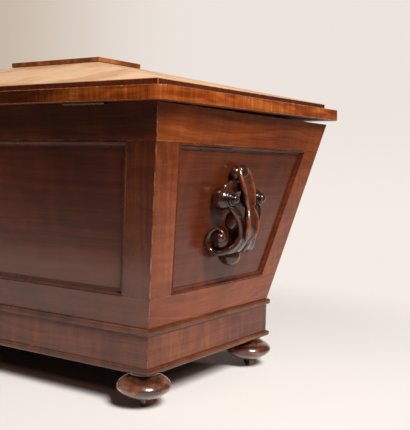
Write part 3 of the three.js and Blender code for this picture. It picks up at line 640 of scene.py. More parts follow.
def nosed_board(name, low, high, radius):
    """A board with its edge rounded at top and bottom"""
    outline = [
        *arc_points((-radius, low + radius), (radius, radius), -90, 0, nosing_steps),
        *arc_points((-radius, high - radius), (radius, radius), 0, 90, nosing_steps),
    ]
    rings = []
    for beyond, height in outline:
        x, y = nosing_half.x + beyond, nosing_half.y + beyond
        rings.append([(x, y, height), (-x, y, height), (-x, -y, height), (x, -y, height)])
    return loft_mesh(name, rings)


nosing_woods = both_ways("Plinth nosing", nosing_tones, **nosing_grain)
frieze_woods = both_ways("Frieze veneer", plinth_tones, **frieze_grain)
worn_frieze = worn_arris("Worn frieze edge", "Z", plinth_tones, frieze_bare_share)
# Painted reflection of the floor on the long plinth
paint_floor_sheen(nosing_woods["X"], share=plinth_floor_sheen_share)
paint_floor_sheen(frieze_woods["X"], share=plinth_floor_sheen_share)

for node, low, high, radius in (
    ("case_floor", floor_board_foot, case_foot, floor_board_radius),
    ("plinth_base", base_board_foot, base_board_top, base_board_radius),
):
    name = f"{node}_nosed"
    board = new_piece(name, nosed_board(name, low, high, radius), nosing_woods.values(), "case", [node])
    turn_end_grain(board.data)
turn_end_grain(eased_copy("plinth_frieze", [*frieze_woods.values(), worn_frieze], "case",
                          "plinth_wood", frieze_arris))

# The bun feet
# Each is turned from dark hardwood in one piece, with a low collar that is glued under the
# base board. The polish is thick and shows bright lights.

foot_half = Vector((0.2623, 0.1388))
foot_flat = 0.014
bun_radius = 0.038
bun_middle = 0.0295
bun_flat_radius = 0.019
bun_pointedness = 1.18
neck_radius = 0.018
collar_radius = 0.0205
collar_height = 0.0036
collar_edge = 0.0007
well_radius = 0.016
well_depth = 0.0105
stem_bore = 0.00415
stem_bore_depth = 0.016
foot_turns = 96
turned_sharp_angle = 40
bun_steps = 40
foot_grain = dict(ring_width=0.007, wander=0.03, figure_share=0.3, figure_length=0.012)
foot_tones = ("2c140b", "522a19", "7a4a32", "a0745a")


def turned_mesh(name, profile, centre):
    """Spins a profile of (radius, height) points that starts and ends on the axis"""
    shape = bmesh.new()
    rows = []
    for radius, height in profile:
        turns = foot_turns if radius else 1
        angles = [2 * math.pi * i / turns for i in range(turns)]
        rows.append([shape.verts.new((
            centre[0] + radius * math.cos(angle), centre[1] + radius * math.sin(angle), height,
        )) for angle in angles])
    join_rows(shape, rows)
    return solid_mesh(shape, name, turned_sharp_angle)


def bun_curve():
    """An ellipse drawn out to a blunter edge, and cut off flat at both ends"""
    end = math.acos((bun_flat_radius / bun_radius) ** (1 / bun_pointedness))
    half_height = bun_middle - foot_flat
    reach = half_height / math.sin(end) ** bun_pointedness
    points = []
    for i in range(bun_steps + 1):
        angle = end * (2 * i / bun_steps - 1)
        rise = math.copysign(abs(math.sin(angle)) ** bun_pointedness, angle)
        points.append((bun_radius * math.cos(angle) ** bun_pointedness, bun_middle + reach * rise))
    return points


foot_wood = polished_wood("Dark turned wood", "Z", foot_tones, **foot_grain, gloss=(0.2, 0.32),
                          coat=1.0, specular=0.5)
foot_top = base_board_foot
collar_low = foot_top - collar_height
well_top = foot_flat + well_depth
bun_top = 2 * bun_middle - foot_flat
foot_profile = [
    (0.0, well_top + stem_bore_depth),
    (stem_bore, well_top + stem_bore_depth),
    (stem_bore, well_top),
    (well_radius, well_top),
    (well_radius, foot_flat),
    *bun_curve(),
    (neck_radius, bun_top),
    (neck_radius, collar_low),
    (collar_radius - collar_edge, collar_low),
    (collar_radius, collar_low + collar_edge),
    (collar_radius, foot_top),
    (0.0, foot_top),
]
CORNERS = {"back_left": (-1, 1), "back_right": (1, 1), "front_left": (-1, -1), "front_right": (1, -1)}

for corner, (side_x, side_y) in CORNERS.items():
    name = f"{corner}_bun_foot"
    mesh = turned_mesh(name, foot_profile, (side_x * foot_half.x, side_y * foot_half.y))
    new_piece(name, mesh, [foot_wood], "case", [f"{corner}_foot"])

# The castors
# Brass horns swivel on stems let up into the feet, and carry small brass wheels on riveted
# axles. The brass has gone brown, and is bright only where the wheels run.

castor_arris = 0.0003
hardware_sharp_angle = 40
wheel_radius = 0.0095
wheel_half_width = 0.0035
wheel_bore = 0.00192
wheel_edge = 0.0014
wheel_edge_steps = 5
wheel_turns = 48
cad_wheel_sides = 16
dish_from = 0.0034
dish_to = 0.007
dish_slant = 0.0004
dish_depth = 0.0006
castor_trail = 0.003
swivel_angles = {"back_left": 205, "back_right": 150, "front_left": 65, "front_right": -40}
tarnish_waves = 190.0
scratch_waves = 1500.0
scratch_share = 0.25
scratch_depth = 0.0001
clean_from = 0.62
clean_softness = 0.24
tarnish_reach = 0.35
brass_tones = ("342a20", "665640", "9a8664", "cab894")
tread_tones = (*brass_tones[1:], "d0b474")


def aged_brass(name, tones, gloss, tarnish):
    """Brass with brown tarnish in clouds and fine scratches"""
    material, tree, shader = new_material(name)
    place = place_along(tree, "X")
    clouds = noise(tree, place, tarnish_waves, detail=4.0, roughness=0.6)
    scratches = noise(tree, place, scratch_waves, roughness=0.6)
    shade = weighted(tree, (clouds, 1 - scratch_share), (scratches, scratch_share))
    start = clean_from - tarnish_reach * tarnish
    clean = fade(tree, shade, start, start + clean_softness)
    set_inputs(tree, shader, {
        "Base Color": ramp(tree, clean, tones),
        "Roughness": fade(tree, shade, start=0.35, end=0.65, low=gloss[1], high=gloss[0]),
        "Metallic": fade(tree, clouds, start=0.3, end=0.5, low=0.75),
        "Normal": bumped(tree, scratches, strength=0.2, depth=scratch_depth),
    })
    return material


castor_brass = aged_brass("Castor brass", brass_tones, gloss=(0.28, 0.5), tarnish=0.55)
tread_brass = aged_brass("Castor tread brass", tread_tones, gloss=(0.2, 0.36), tarnish=0.3)
axle_height = wheel_radius * math.cos(math.pi / cad_wheel_sides)


def smooth_wheel(corner, name):
    """The wheel, with rounded tread edges and a dished web on each side"""
    edge_centre = (axle_height - wheel_edge, wheel_half_width - wheel_edge)
    half = [
        (wheel_bore, wheel_half_width),
        (dish_from, wheel_half_width),
        (dish_from + dish_slant, wheel_half_width - dish_depth),
        (dish_to - dish_slant, wheel_half_width - dish_depth),
        (dish_to, wheel_half_width),
        *arc_points(edge_centre, (wheel_edge, wheel_edge), 90, 0, wheel_edge_steps),
    ]
    profile = [*half, *[(radius, -out) for radius, out in reversed(half)]]
    rings = []
    for i in range(wheel_turns):
        angle = 2 * math.pi * i / wheel_turns
        rings.append([(out, radius * math.cos(angle), radius * math.sin(angle))
                      for radius, out in profile])
    mesh = loft_mesh(name, rings, closed=True)
    side_x, side_y = CORNERS[corner]
    place = Matrix.Translation((side_x * foot_half.x, side_y * foot_half.y, 0.0))
    place = place @ Matrix.Rotation(math.radians(swivel_angles[corner]), 4, "Z")
    mesh.transform(place @ Matrix.Translation((0.0, castor_trail, axle_height)))
    return mesh


for corner in CORNERS:
    for part in ("castor_horn", "castor_axle"):
        eased_copy(f"{corner}_{part}", [castor_brass], f"{corner}_castor", "brass", castor_arris,
                   "brass", sharp_angle=hardware_sharp_angle)
    name = f"{corner}_castor_roller"
    new_piece(name, smooth_wheel(corner, name), [tread_brass], f"{corner}_wheel",
              [f"{corner}_castor_wheel"])

# The liner and the bottle crate
# A grey metal box with soldered corners keeps the melting ice from the wood. A crate of thin
# boards, halved together, stands in it and keeps the bottles apart.

crate_arris = 0.0006
lining_arris = 0.0005
sheet_cloud_waves = 16.0
stain_waves = (30.0, 6.0, 30.0)
stain_share = 0.4
dent_waves = 55.0
dent_depth = 0.001
crate_grain = dict(ring_width=0.01, wander=0.03, figure_share=0.1, figure_length=0.02)
lining_tones = ("6c6e70", "8c8e90", "a2a4a4", "babcbc")
crate_tones = ("4a2412", "74411f", "94592d", "ab713f")


def dull_sheet(name, tones):
    """Old sheet metal with dull clouds, stains and faint hammering"""
    material, tree, shader = new_material(name)
    place = place_along(tree, "X")
    clouds = noise(tree, place, sheet_cloud_waves, detail=5.0, roughness=0.6)
    stains = noise(tree, place, stain_waves, detail=4.0, roughness=0.6)
    dents = noise(tree, place, dent_waves, detail=2.0, roughness=0.5)
    shade = weighted(tree, (clouds, 1 - stain_share), (stains, stain_share))
    set_inputs(tree, shader, {
        "Base Color": ramp(tree, fade(tree, shade, start=0.3, end=0.7), tones),
        "Roughness": fade(tree, clouds, start=0.3, end=0.7, low=0.38, high=0.6),
        "Metallic": 0.25,
        "Normal": bumped(tree, dents, strength=0.25, depth=dent_depth),
    })
    return material


lining_metal = dull_sheet("Lining metal", lining_tones)
crate_wood = polished_wood("Crate wood", "X", crate_tones, **crate_grain, gloss=(0.4, 0.6))
eased_copy("liner", [lining_metal], "case", "lining_metal", lining_arris, "sheet")
eased_copy("bottle_crate", [crate_wood], "case", "panel_wood", crate_arris)

# The lid
# A frame with rounded corners and cross-banded edges carries a hollow hipped crown, with a
# small flat tablet on top. The veneer is satin, with a pale painted sheen on the hipped top
# where the eye looks along it and painted shade along the middle of the lid's edges; the
# inside is plain board.

lid_arris = 0.0013
lid_arris_segments = 3
crown_arris = 0.0007
tablet_arris = 0.0006
lid_bare_share = 0.38
crown_bare_share = 0.45
upright_limit = 0.3
dark_middle_from = 0.1
dark_middle_to = 0.32
dark_middle_wander = 0.1
dark_middle_waves = 22.0
dark_share = 0.88
grazing_sheen_shares = (0.4, 0.82)
grazing_sheen_cloud_size = 0.09
grazing_sheen_cloud_limits = (0.4, 0.58)
grazing_sheen_angles = (0.72, 0.9)
lid_edge_grain = dict(ring_width=0.006, wander=0.03, figure_share=0.15, figure_length=0.012)
crown_grain = dict(ring_width=0.014, wander=0.12, figure_share=0.1, figure_length=0.025)
crown_edge_grain = dict(ring_width=0.006, wander=0.03, figure_share=0.1, figure_length=0.012)
lining_board_grain = dict(ring_width=0.01, wander=0.05, figure_share=0.0, figure_length=0.012)
tablet_grain = dict(ring_width=0.01, wander=0.06, figure_share=0.2, figure_length=0.02)
lid_tones = ("4a1605", "7e330c", "a5521a", "cc8a48")
dark_lid_edge = "260901"
edge_tones = ("2a0d05", "4c1a0a", "662a10", "80401c")
lining_board_tones = ("3c1e10", "5a301a", "734225", "8a5634")
tablet_tones = ("5e2c12", "844620", "a3622f", "c08a50")
crown_tones = ("84481e", "aa682e", "c48444", "dcac70")
grazing_sheen_colour = "f4c69a"


def darken_middle(material, dark):
    """Paints shade on a wood along the middle of the lid, fading out towards the corners"""
    tree = material.node_tree
    place = object_place(tree)
    wander = noise(tree, place, dark_middle_waves, roughness=0.6)
    reach = calculate(tree, "ABSOLUTE", split_axes(tree, place)["X"])
    reach = weighted(tree, (reach, 1.0), (wander, dark_middle_wander))
    offset = dark_middle_wander / 2
    middle = fade(tree, reach, dark_middle_to + offset, dark_middle_from + offset, 0.0, dark_share)
    lay_over(material, middle, dark)


def paint_grazing_sheen(material, pale):
    """Paints a pale sheen on a level top where the eye looks along it: a painted reflection"""
    tree = material.node_tree
    clouds = noise(tree, object_place(tree), 1 / grazing_sheen_cloud_size, detail=4.0, roughness=0.6)
    share = fade(tree, clouds, *grazing_sheen_cloud_limits, *grazing_sheen_shares)
    angle = add_node(tree, "ShaderNodeLayerWeight", {"Blend": 0.5})
    grazing = fade(tree, angle.outputs["Facing"], *grazing_sheen_angles)
    lay_over(material, calculate(tree, "MULTIPLY", share, grazing), pale)


lid_edge_wood = polished_wood("Lid edge cross-banding", "Z", lid_tones, **lid_edge_grain,
                              gloss=(0.36, 0.48), specular=0.15)
# Painted shade along the middle of the lid's edges
darken_middle(lid_edge_wood, dark_lid_edge)
lid_frame_wood = polished_wood("Lid frame wood", "X", mahogany_tones, **long_rail_grain,
                               gloss=(0.4, 0.55), specular=0.15)
worn_lid_edge = worn_arris("Worn lid edge", "Z", lid_tones, lid_bare_share)
crown_woods = both_ways("Hipped top veneer", crown_tones, **crown_grain, gloss=(0.42, 0.54),
                        specular=0.35)
# Painted sheen on the hipped top at grazing angles
for wood in crown_woods.values():
    paint_grazing_sheen(wood, grazing_sheen_colour)
crown_edge_wood = polished_wood("Hipped top edge", "Z", edge_tones, **crown_edge_grain)
crown_lining_wood = polished_wood("Lid lining board", "X", lining_board_tones, **lining_board_grain,
                                  gloss=(0.5, 0.65), specular=0.3)
worn_crown = worn_arris("Worn hipped top edge", "X", crown_tones, crown_bare_share)
tablet_wood = polished_wood("Tablet veneer", "X", tablet_tones, **tablet_grain, gloss=(0.38, 0.5),
                            specular=0.35)

slab = eased_copy("lid_slab", [lid_edge_wood, lid_frame_wood, worn_lid_edge], "lid", "lid_wood",
                  lid_arris, segments=lid_arris_segments)
for face in slab.polygons:
    if abs(face.normal.z) > upright_limit:
        face.material_index = 1
crown = eased_copy("lid_crown", [*crown_woods.values(), crown_edge_wood, crown_lining_wood, worn_crown],
                   "lid", "crown_wood", crown_arris)
turn_end_grain(crown)
for face in crown.polygons:
    if abs(face.normal.z) < upright_limit:
        face.material_index = 2
    elif face.normal.z < 0:
        face.material_index = 3
eased_copy("lid_tablet", [tablet_wood, worn_lid_edge], "lid", "lid_wood", tablet_arris)

# The hinges
# Two brass butt hinges, each of two leaves and a pin. Four countersunk screws hold each leaf
# in the wood.

hinge_arris = 0.0002
hardware_tones = ("5a482a", "8e7244", "b4935a", "d2b47a")
hinge_brass = aged_brass("Hinge brass", hardware_tones, gloss=(0.3, 0.45), tarnish=0.2)

for end in ("left", "right"):
    for part, body in (("hinge_case_leaf", "case"), ("hinge_lid_leaf", "lid"), ("hinge_pin", "case")):
        eased_copy(f"{end}_{part}", [hinge_brass], body, "brass", hinge_arris, "brass",
                   sharp_angle=hardware_sharp_angle)

# The lock
# A brass box lock in the front rail, with a sliding bolt behind the slots in its top, a
# strike with two hooks in the lid, and an oval keyhole plate on the front.

lock_arris = 0.0002
lock_brass = aged_brass("Lock brass", hardware_tones, gloss=(0.26, 0.4), tarnish=0.25)

for node, body, material_slot in (
    ("lock_case", "case", "brass"),
    ("lock_bolt", "lock_bolt", "iron"),
    ("lock_strike", "lid", "brass"),
    ("key_escutcheon", "case", "brass"),
):
    eased_copy(node, [lock_brass], body, material_slot, lock_arris, "brass", sharp_angle=hardware_sharp_angle)

# The screws
# Small countersunk brass screws hold the hinge leaves, the lock and its strike. Their heads
# lie all but flush, and their slots stopped at any angle when they were driven home.

hinge_screw_shares = (-0.74, -0.25, 0.25, 0.74)
hinge_screw_stagger = 0.0022
lock_screw_shares = (-0.87, 0.87)
screw_head_radius = 0.003
screw_rim = 0.0003
screw_head_depth = 0.0005
screw_proud = 0.00008
screw_slot_width = 0.0006
screw_slot_depth = 0.00007
screw_sides = 32
screw_seed = 7
plate_apart = 0.0005
level_limit = 0.95
grit_waves = 2600.0
screw_tones = ("6e5a34", "a4864e", "caa868", "e4c88c")
slot_dirt_colours = ("14100b", "2c241a")


def old_dirt(name, colours):
    """Dark wax and dust, packed into a slot"""
    material, tree, shader = new_material(name)
    grit = noise(tree, place_along(tree, "X"), grit_waves)
    set_inputs(tree, shader, {"Base Color": blend_colours(tree, grit, *colours), "Roughness": 0.9})
    return material


def build_screw_nodes():
    """Puts a slotted screw head on every point, facing the way that the point says"""
    tree = bpy.data.node_groups.new("Screw heads", "GeometryNodeTree")
    for label, kind, value in (
        ("Points", "NodeSocketGeometry", None),
        ("Sides", "NodeSocketInt", screw_sides),
        ("Radius", "NodeSocketFloat", screw_head_radius),
        ("Rim", "NodeSocketFloat", screw_rim),
        ("Depth", "NodeSocketFloat", screw_head_depth),
        ("Slot width", "NodeSocketFloat", screw_slot_width),
        ("Slot depth", "NodeSocketFloat", screw_slot_depth),
        ("Seed", "NodeSocketInt", screw_seed),
        ("Brass", "NodeSocketMaterial", None),
        ("Dirt", "NodeSocketMaterial", None),
    ):
        socket = tree.interface.new_socket(label, in_out="INPUT", socket_type=kind)
        if value is not None:
            socket.default_value = value
    tree.interface.new_socket("Screws", in_out="OUTPUT", socket_type="NodeSocketGeometry")
    given = tree.nodes.new("NodeGroupInput").outputs
    cone = add_node(tree, "GeometryNodeMeshCone", {
        "Vertices": given["Sides"],
        "Radius Top": calculate(tree, "SUBTRACT", given["Radius"], given["Rim"]),
        "Radius Bottom": given["Radius"],
        "Depth": given["Depth"],
    })
    slot_size = add_node(tree, "ShaderNodeCombineXYZ", {
        "X": calculate(tree, "MULTIPLY", given["Radius"], 3.0),
        "Y": given["Slot width"],
        "Z": calculate(tree, "MULTIPLY", given["Slot depth"], 2.0),
    })
    slot = add_node(tree, "GeometryNodeMeshCube", {"Size": slot_size.outputs[0]})
    slot_place = add_node(tree, "ShaderNodeCombineXYZ", {"Z": given["Depth"]})
    slot = add_node(tree, "GeometryNodeTransform", {
        "Geometry": slot.outputs["Mesh"],
        "Translation": slot_place.outputs[0],
    })
    solid_head, cut_away = (
        add_node(tree, "GeometryNodeSetMaterial", {"Geometry": part, "Material": given[stuff]})
        for part, stuff in ((cone.outputs["Mesh"], "Brass"), (slot.outputs["Geometry"], "Dirt"))
    )
    head = add_node(tree, "GeometryNodeMeshBoolean", {
        "Mesh 1": solid_head.outputs["Geometry"],
        "Mesh 2": cut_away.outputs["Geometry"],
    }, operation="DIFFERENCE")
    facing = add_node(tree, "GeometryNodeInputNamedAttribute", {"Name": "Facing"},
                      data_type="FLOAT_VECTOR")
    upright = add_node(tree, "FunctionNodeAlignRotationToVector", {
        "Vector": facing.outputs["Attribute"]}, axis="Z")
    spin = add_node(tree, "FunctionNodeRandomValue", {"Seed": given["Seed"]}, data_type="FLOAT")
    turned = add_node(tree, "FunctionNodeAxisAngleToRotation", {
        "Angle": calculate(tree, "MULTIPLY", spin.outputs[1], 2 * math.pi)})
    driven = add_node(tree, "FunctionNodeRotateRotation", {
        "Rotation": upright.outputs[0],
        "Rotate By": turned.outputs[0],
    }, rotation_space="LOCAL")
    placed = add_node(tree, "GeometryNodeInstanceOnPoints", {
        "Points": given["Points"],
        "Instance": head.outputs["Mesh"],
        "Rotation": driven.outputs[0],
    })
    realized = add_node(tree, "GeometryNodeRealizeInstances", {"Geometry": placed.outputs["Instances"]})
    set_inputs(tree, tree.nodes.new("NodeGroupOutput"), {"Screws": realized.outputs["Geometry"]})
    return tree


def broad_plate(node, facing_up):
    """The corners of a piece's broadest level face, seen from above or below, and its normal"""
    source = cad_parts[node].data
    planes = {}
    for face in source.polygons:
        if (face.normal.z if facing_up else -face.normal.z) > level_limit:
            plane = round(face.normal.dot(face.center) / plate_apart)
            planes.setdefault(plane, []).append(face)
    plate = max(planes.values(), key=lambda faces: sum(face.area for face in faces))
    corners = [source.vertices[i].co for face in plate for i in face.vertices]
    return corners, plate[0].normal.copy()


def screw_points(node, facing_up, shares, stagger=0.0):
    """Places for screws along a plate, below its face by a head's depth, and which way they face"""
    corners, facing = broad_plate(node, facing_up)
    low, high = (Vector(pick(corner[i] for corner in corners) for i in range(3)) for pick in (min, max))
    middle = (low + high) / 2
    half_length = (high.x - low.x) / 2
    sunk = facing * (screw_head_depth - screw_proud)
    points = []
    for i, share in enumerate(shares):
        across = stagger if i % 2 else -stagger
        points.append((middle + Vector((share * half_length, across, 0.0)) - sunk, facing))
    return points


def screw_set(name, body, points, materials):
    """Makes one body's screws from their points and the screw heads tree"""
    mesh = bpy.data.meshes.new(name)
    mesh.from_pydata([point for point, facing in points], [], [])
    facing_way = mesh.attributes.new("Facing", "FLOAT_VECTOR", "POINT")
    for entry, (point, facing) in zip(facing_way.data, points):
        entry.vector = facing
    piece = bpy.data.objects.new(name, mesh)
    bpy.context.scene.collection.objects.link(piece)
    heads = piece.modifiers.new("Screw heads", "NODES")
    heads.node_group = screw_tree
    for item in screw_tree.interface.items_tree:
        if item.in_out == "INPUT" and item.name in materials:
            heads[item.identifier] = materials[item.name]
    evaluated = piece.evaluated_get(bpy.context.evaluated_depsgraph_get())
    made = bpy.data.meshes.new_from_object(evaluated)
    for i in reversed(range(len(made.materials))):
        if made.materials[i] is None:
            made.materials.pop(index=i)
    piece.modifiers.clear()
    piece.data = made
    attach(piece, body)


screw_tree = build_screw_nodes()
screw_materials = {
    "Brass": aged_brass("Screw brass", screw_tones, gloss=(0.24, 0.36), tarnish=0.15),
    "Dirt": old_dirt("Screw slot dirt", slot_dirt_colours),
}
for body, facing_up, lock_plate, leaf in (
    ("case", True, "lock_case", "hinge_case_leaf"),
    ("lid", False, "lock_strike", "hinge_lid_leaf"),
):
    points = screw_points(lock_plate, facing_up, lock_screw_shares)
    for end in ("left", "right"):
        points += screw_points(f"{end}_{leaf}", facing_up, hinge_screw_shares, hinge_screw_stagger)
    screw_set(f"{body}_screws", body, points, screw_materials)

# The carved handles
# Each is carved from one block of dark wood and screwed on from inside: a leaf strap bows out
# below an oval head with fluted lobes, a scroll on each side runs from a ringed boss to a
# curled end, and a bud hangs below. The hollows are painted dark as shade, and the high places
# are painted redder as light.

MILLIMETRE = 0.001
handle_from_middle = 0.019
handle_height = 0.2545
panel_depth = 0.0045
carving_sharp_angle = 60
pore_depth = 0.0003
blotch_waves = 70.0
relief_light_share = 0.36
blotch_share = 0.6
fibre_share = 0.14
handle_tones = ("0a0402", "2a110a", "542412", "94501f")
line_steps = 8
section_steps = 4
# An outline's points: wide and high as shares of a bar's half sizes, then how much painted light it takes
leaf_outline = [
    (1.0, 0.0, 0.2), (1.02, 0.6, 0.6), (0.88, 1.02, 1.0), (0.7, 0.96, 0.8), (0.5, 0.62, 0.25),
    (0.22, 0.46, 0.35), (-0.1, 0.46, 0.45), (-0.38, 0.6, 0.35), (-0.62, 0.92, 0.7), (-0.82, 1.04, 1.0),
    (-1.0, 0.6, 0.6), (-1.0, 0.0, 0.2), (-0.8, -0.7, 0.0), (0.0, -0.9, 0.0), (0.8, -0.7, 0.0),
]
ridged_outline = [
    (1.0, 0.0, 0.2), (0.92, 0.7, 0.35), (0.62, 0.95, 0.35), (0.22, 0.72, 0.0), (0.0, 0.66, 0.0),
    (-0.22, 0.72, 0.0), (-0.62, 0.95, 0.35), (-0.92, 0.7, 0.35), (-1.0, 0.0, 0.2), (-0.7, -0.75, 0.0),
    (0.0, -0.95, 0.0), (0.7, -0.75, 0.0),
]
plain_outline = [
    (1.0, 0.0, 0.1), (0.9, 0.9, 0.15), (0.0, 1.0, 0.2), (-0.9, 0.9, 0.15), (-1.0, 0.0, 0.1),
    (-0.9, -0.9, 0.0), (0.0, -1.0, 0.0), (0.9, -0.9, 0.0),
]
# A line's points: across, up and out in millimetres, then half its width and thickness
upper_leaf_line = [
    (0, 75, 5.5, 11.0, 4.5), (0, 72, 9, 13.5, 5.2), (0, 68, 12, 15.0, 5.8), (0, 62, 15.5, 15.5, 6.0),
    (0, 55, 20, 15.5, 6.0), (0, 48, 24.2, 15.2, 6.0), (0, 41, 27.8, 14.4, 5.8), (0, 34, 30.5, 13.0, 5.4),
    (0, 28, 32.5, 11.0, 4.8), (0, 23, 33.5, 8.5, 3.8),
]
lower_leaf_line = [
    (0, 28, 31, 5.0, 3.4), (0, 23, 34.5, 9.0, 4.4), (0, 17, 37.5, 12.2, 5.2), (0, 9, 40.8, 14.6, 5.8),
    (0, 1, 42.6, 15.6, 6.0), (0, -6, 43.2, 15.0, 6.0), (0, -13, 42.6, 13.0, 5.6), (0, -19, 40.5, 9.5, 5.0),
    (0, -24, 37, 6.0, 4.0), (0, -27, 33, 3.2, 3.0),
]
scroll_line = [
    (37, 27, 15, 5.0, 4.0), (34, 22, 26, 6.0, 4.5), (27, 14, 32.5, 7.0, 5.0), (19.5, 4, 36.5, 8.0, 5.0),
    (15, -7, 38.5, 8.5, 5.0), (14, -18, 39, 9.0, 5.0), (17, -29, 36.5, 10.0, 5.0), (23, -38, 30, 11.5, 5.0),
    (29, -43, 20, 12.5, 4.8), (33, -40, 10, 12.5, 4.4), (36, -30, 5, 12.0, 4.0), (36, -18, 7, 11.0, 3.4),
    (36, -11, 14, 9.5, 3.0), (36, -12, 22, 8.0, 2.6), (36, -17, 27, 6.0, 2.4), (36, -22, 28, 4.0, 2.0),
]
stalk_line = [(0, -12, 37, 6.0, 6.0), (0, -24, 34, 6.5, 6.5), (0, -35, 29, 6.5, 6.5), (0, -45, 23, 5.0, 5.0)]
# A boss's outline: radius and stand in millimetres, then how much painted light it takes
boss_outline = [
    (0, 0, 0.0), (14.5, 0, 0.05), (16.4, 4, 0.1), (16.8, 9, 0.2), (16.0, 14, 0.25), (13.8, 18.5, 0.2),
    (12.0, 20.5, 0.1), (11.2, 21.6, 0.0), (12.2, 22.6, 0.2), (12.6, 24.2, 0.35), (11.6, 25.6, 0.2),
    (9.6, 26.0, 0.0), (9.2, 26.8, 0.0), (10.0, 27.4, 0.2), (10.2, 28.6, 0.35), (9.2, 29.8, 0.2),
    (6.8, 30.2, 0.0), (6.2, 31.0, 0.0), (6.9, 32.4, 0.2), (6.6, 34.6, 0.3), (5.2, 36.6, 0.35),
    (2.8, 37.8, 0.4), (0, 38.2, 0.4),
]
boss_centre = Vector((37, 30, 3.5))
boss_width_share = 0.95
boss_stand_share = 0.86
boss_steps = 3
boss_turns = 64
least_radius = 0.05
# An oval: its centre, then its half sizes, across, up and out in millimetres
head_oval = ((0, 67.5, 9.5), (13, 12.5, 9.5))
ground_oval = ((0, 46, 8.5), (38, 13.5, 8.2))
lower_ground_oval = ((0, -36, 6.5), (29, 9, 6))
bud_oval = ((0, -50.5, 18), (14, 15, 17))
head_lobe = ((11, 67, 7.5), (9.5, 12, 8))
scroll_back_oval = ((33, -25, 17), (9, 14, 14))
scroll_eye_oval = ((39, -21, 22), (8, 7.5, 7.0))
scroll_root_oval = ((29, 4, 26), (3, 13, 9))
lobe_flutes = 3
flute_depth_share = 0.06
oval_rows = 24
oval_turns = 60
oval_relief_light = 0.25
end_relief_light = 0.3


def smooth_line(points, steps, closed=False):
    """A smooth line through points that carry any number of values"""
    count = len(points)
    rows = []
    for i in range(count if closed else count - 1):
        near = [i + k for k in (-1, 0, 1, 2)]
        if closed:
            a, b, c, d = (points[place % count] for place in near)
        else:
            a, b, c, d = (points[min(max(place, 0), count - 1)] for place in near)
        for k in range(steps):
            t = k / steps
            rows.append([
                0.5 * (2 * q + (r - p) * t + (2 * p - 5 * q + 4 * r - s) * t ** 2
                       + (3 * q - p - 3 * r + s) * t ** 3)
                for p, q, r, s in zip(a, b, c, d)
            ])
    if not closed:
        rows.append(list(points[-1]))
    return rows


def bar_rings(line, outline):
    """A bar along a line; its outline is wide across and has its carved face outwards"""
    section = smooth_line(outline, section_steps, closed=True)
    rows = smooth_line(line, line_steps)
    rings = []
    for i, (across, up, out, half_width, half_thickness) in enumerate(rows):
        before = Vector(rows[max(i - 1, 0)][:3])
        after = Vector(rows[min(i + 1, len(rows) - 1)][:3])
        ahead = (after - before).normalized()
        side = Vector((1.0, 0.0, 0.0))
        side = (side - ahead * side.dot(ahead)).normalized()
        outward = ahead.cross(side)
        centre = Vector((across, up, out))
        rings.append([
            (centre + side * wide * half_width + outward * high * half_thickness, relief_light)
            for wide, high, relief_light in section
        ])
    return rings


def boss_rings():
    """A ringed boss that stands on the panel with its axis level"""
    level = Matrix.Rotation(-panel_lean, 3, "X")
    rings = []
    for radius, stand, relief_light in smooth_line(boss_outline, boss_steps):
        reach = max(radius, least_radius) * boss_width_share
        ring = []
        for i in range(boss_turns):
            angle = 2 * math.pi * i / boss_turns
            spot = Vector((reach * math.cos(angle), reach * math.sin(angle), stand * boss_stand_share))
            ring.append((level @ spot + boss_centre, relief_light))
        rings.append(ring)
    return rings


def oval_rings(centre, half, flutes=0):
    """An oval with flutes that run to its outward point"""
    rings = []
    for i in range(1, oval_rows):
        polar = math.pi * i / oval_rows
        ring = []
        for k in range(oval_turns):
            angle = 2 * math.pi * k / oval_turns
            wave = math.cos(flutes * angle)
            reach = math.sin(polar) * (1 + flute_depth_share * (wave - 1) * math.sin(polar) ** 0.5)
            spot = Vector((
                half[0] * reach * math.cos(angle),
                half[1] * reach * math.sin(angle),
                half[2] * math.cos(polar),
            ))
            ring.append((Vector(centre) + spot, oval_relief_light * (1 + wave) / 2))
        rings.append(ring)
    return rings


def mirrored(rings):
    """The same rings on the other side of the handle"""
    return [[(Vector((-spot.x, spot.y, spot.z)), relief_light) for spot, relief_light in ring] for ring in rings]


def add_rings(shape, relief, rings):
    """Joins rings of points and their painted light into a form with closed ends"""
    rows = []
    for ring in rings:
        row = []
        for spot, relief_light in ring:
            vert = shape.verts.new(spot * MILLIMETRE)
            vert[relief] = relief_light
            row.append(vert)
        rows.append(row)
    tips = []
    for row in (rows[0], rows[-1]):
        tip = shape.verts.new(sum((vert.co for vert in row), Vector()) / len(row))
        tip[relief] = end_relief_light
        tips.append([tip])
    join_rows(shape, [tips[0], *rows, tips[1]])


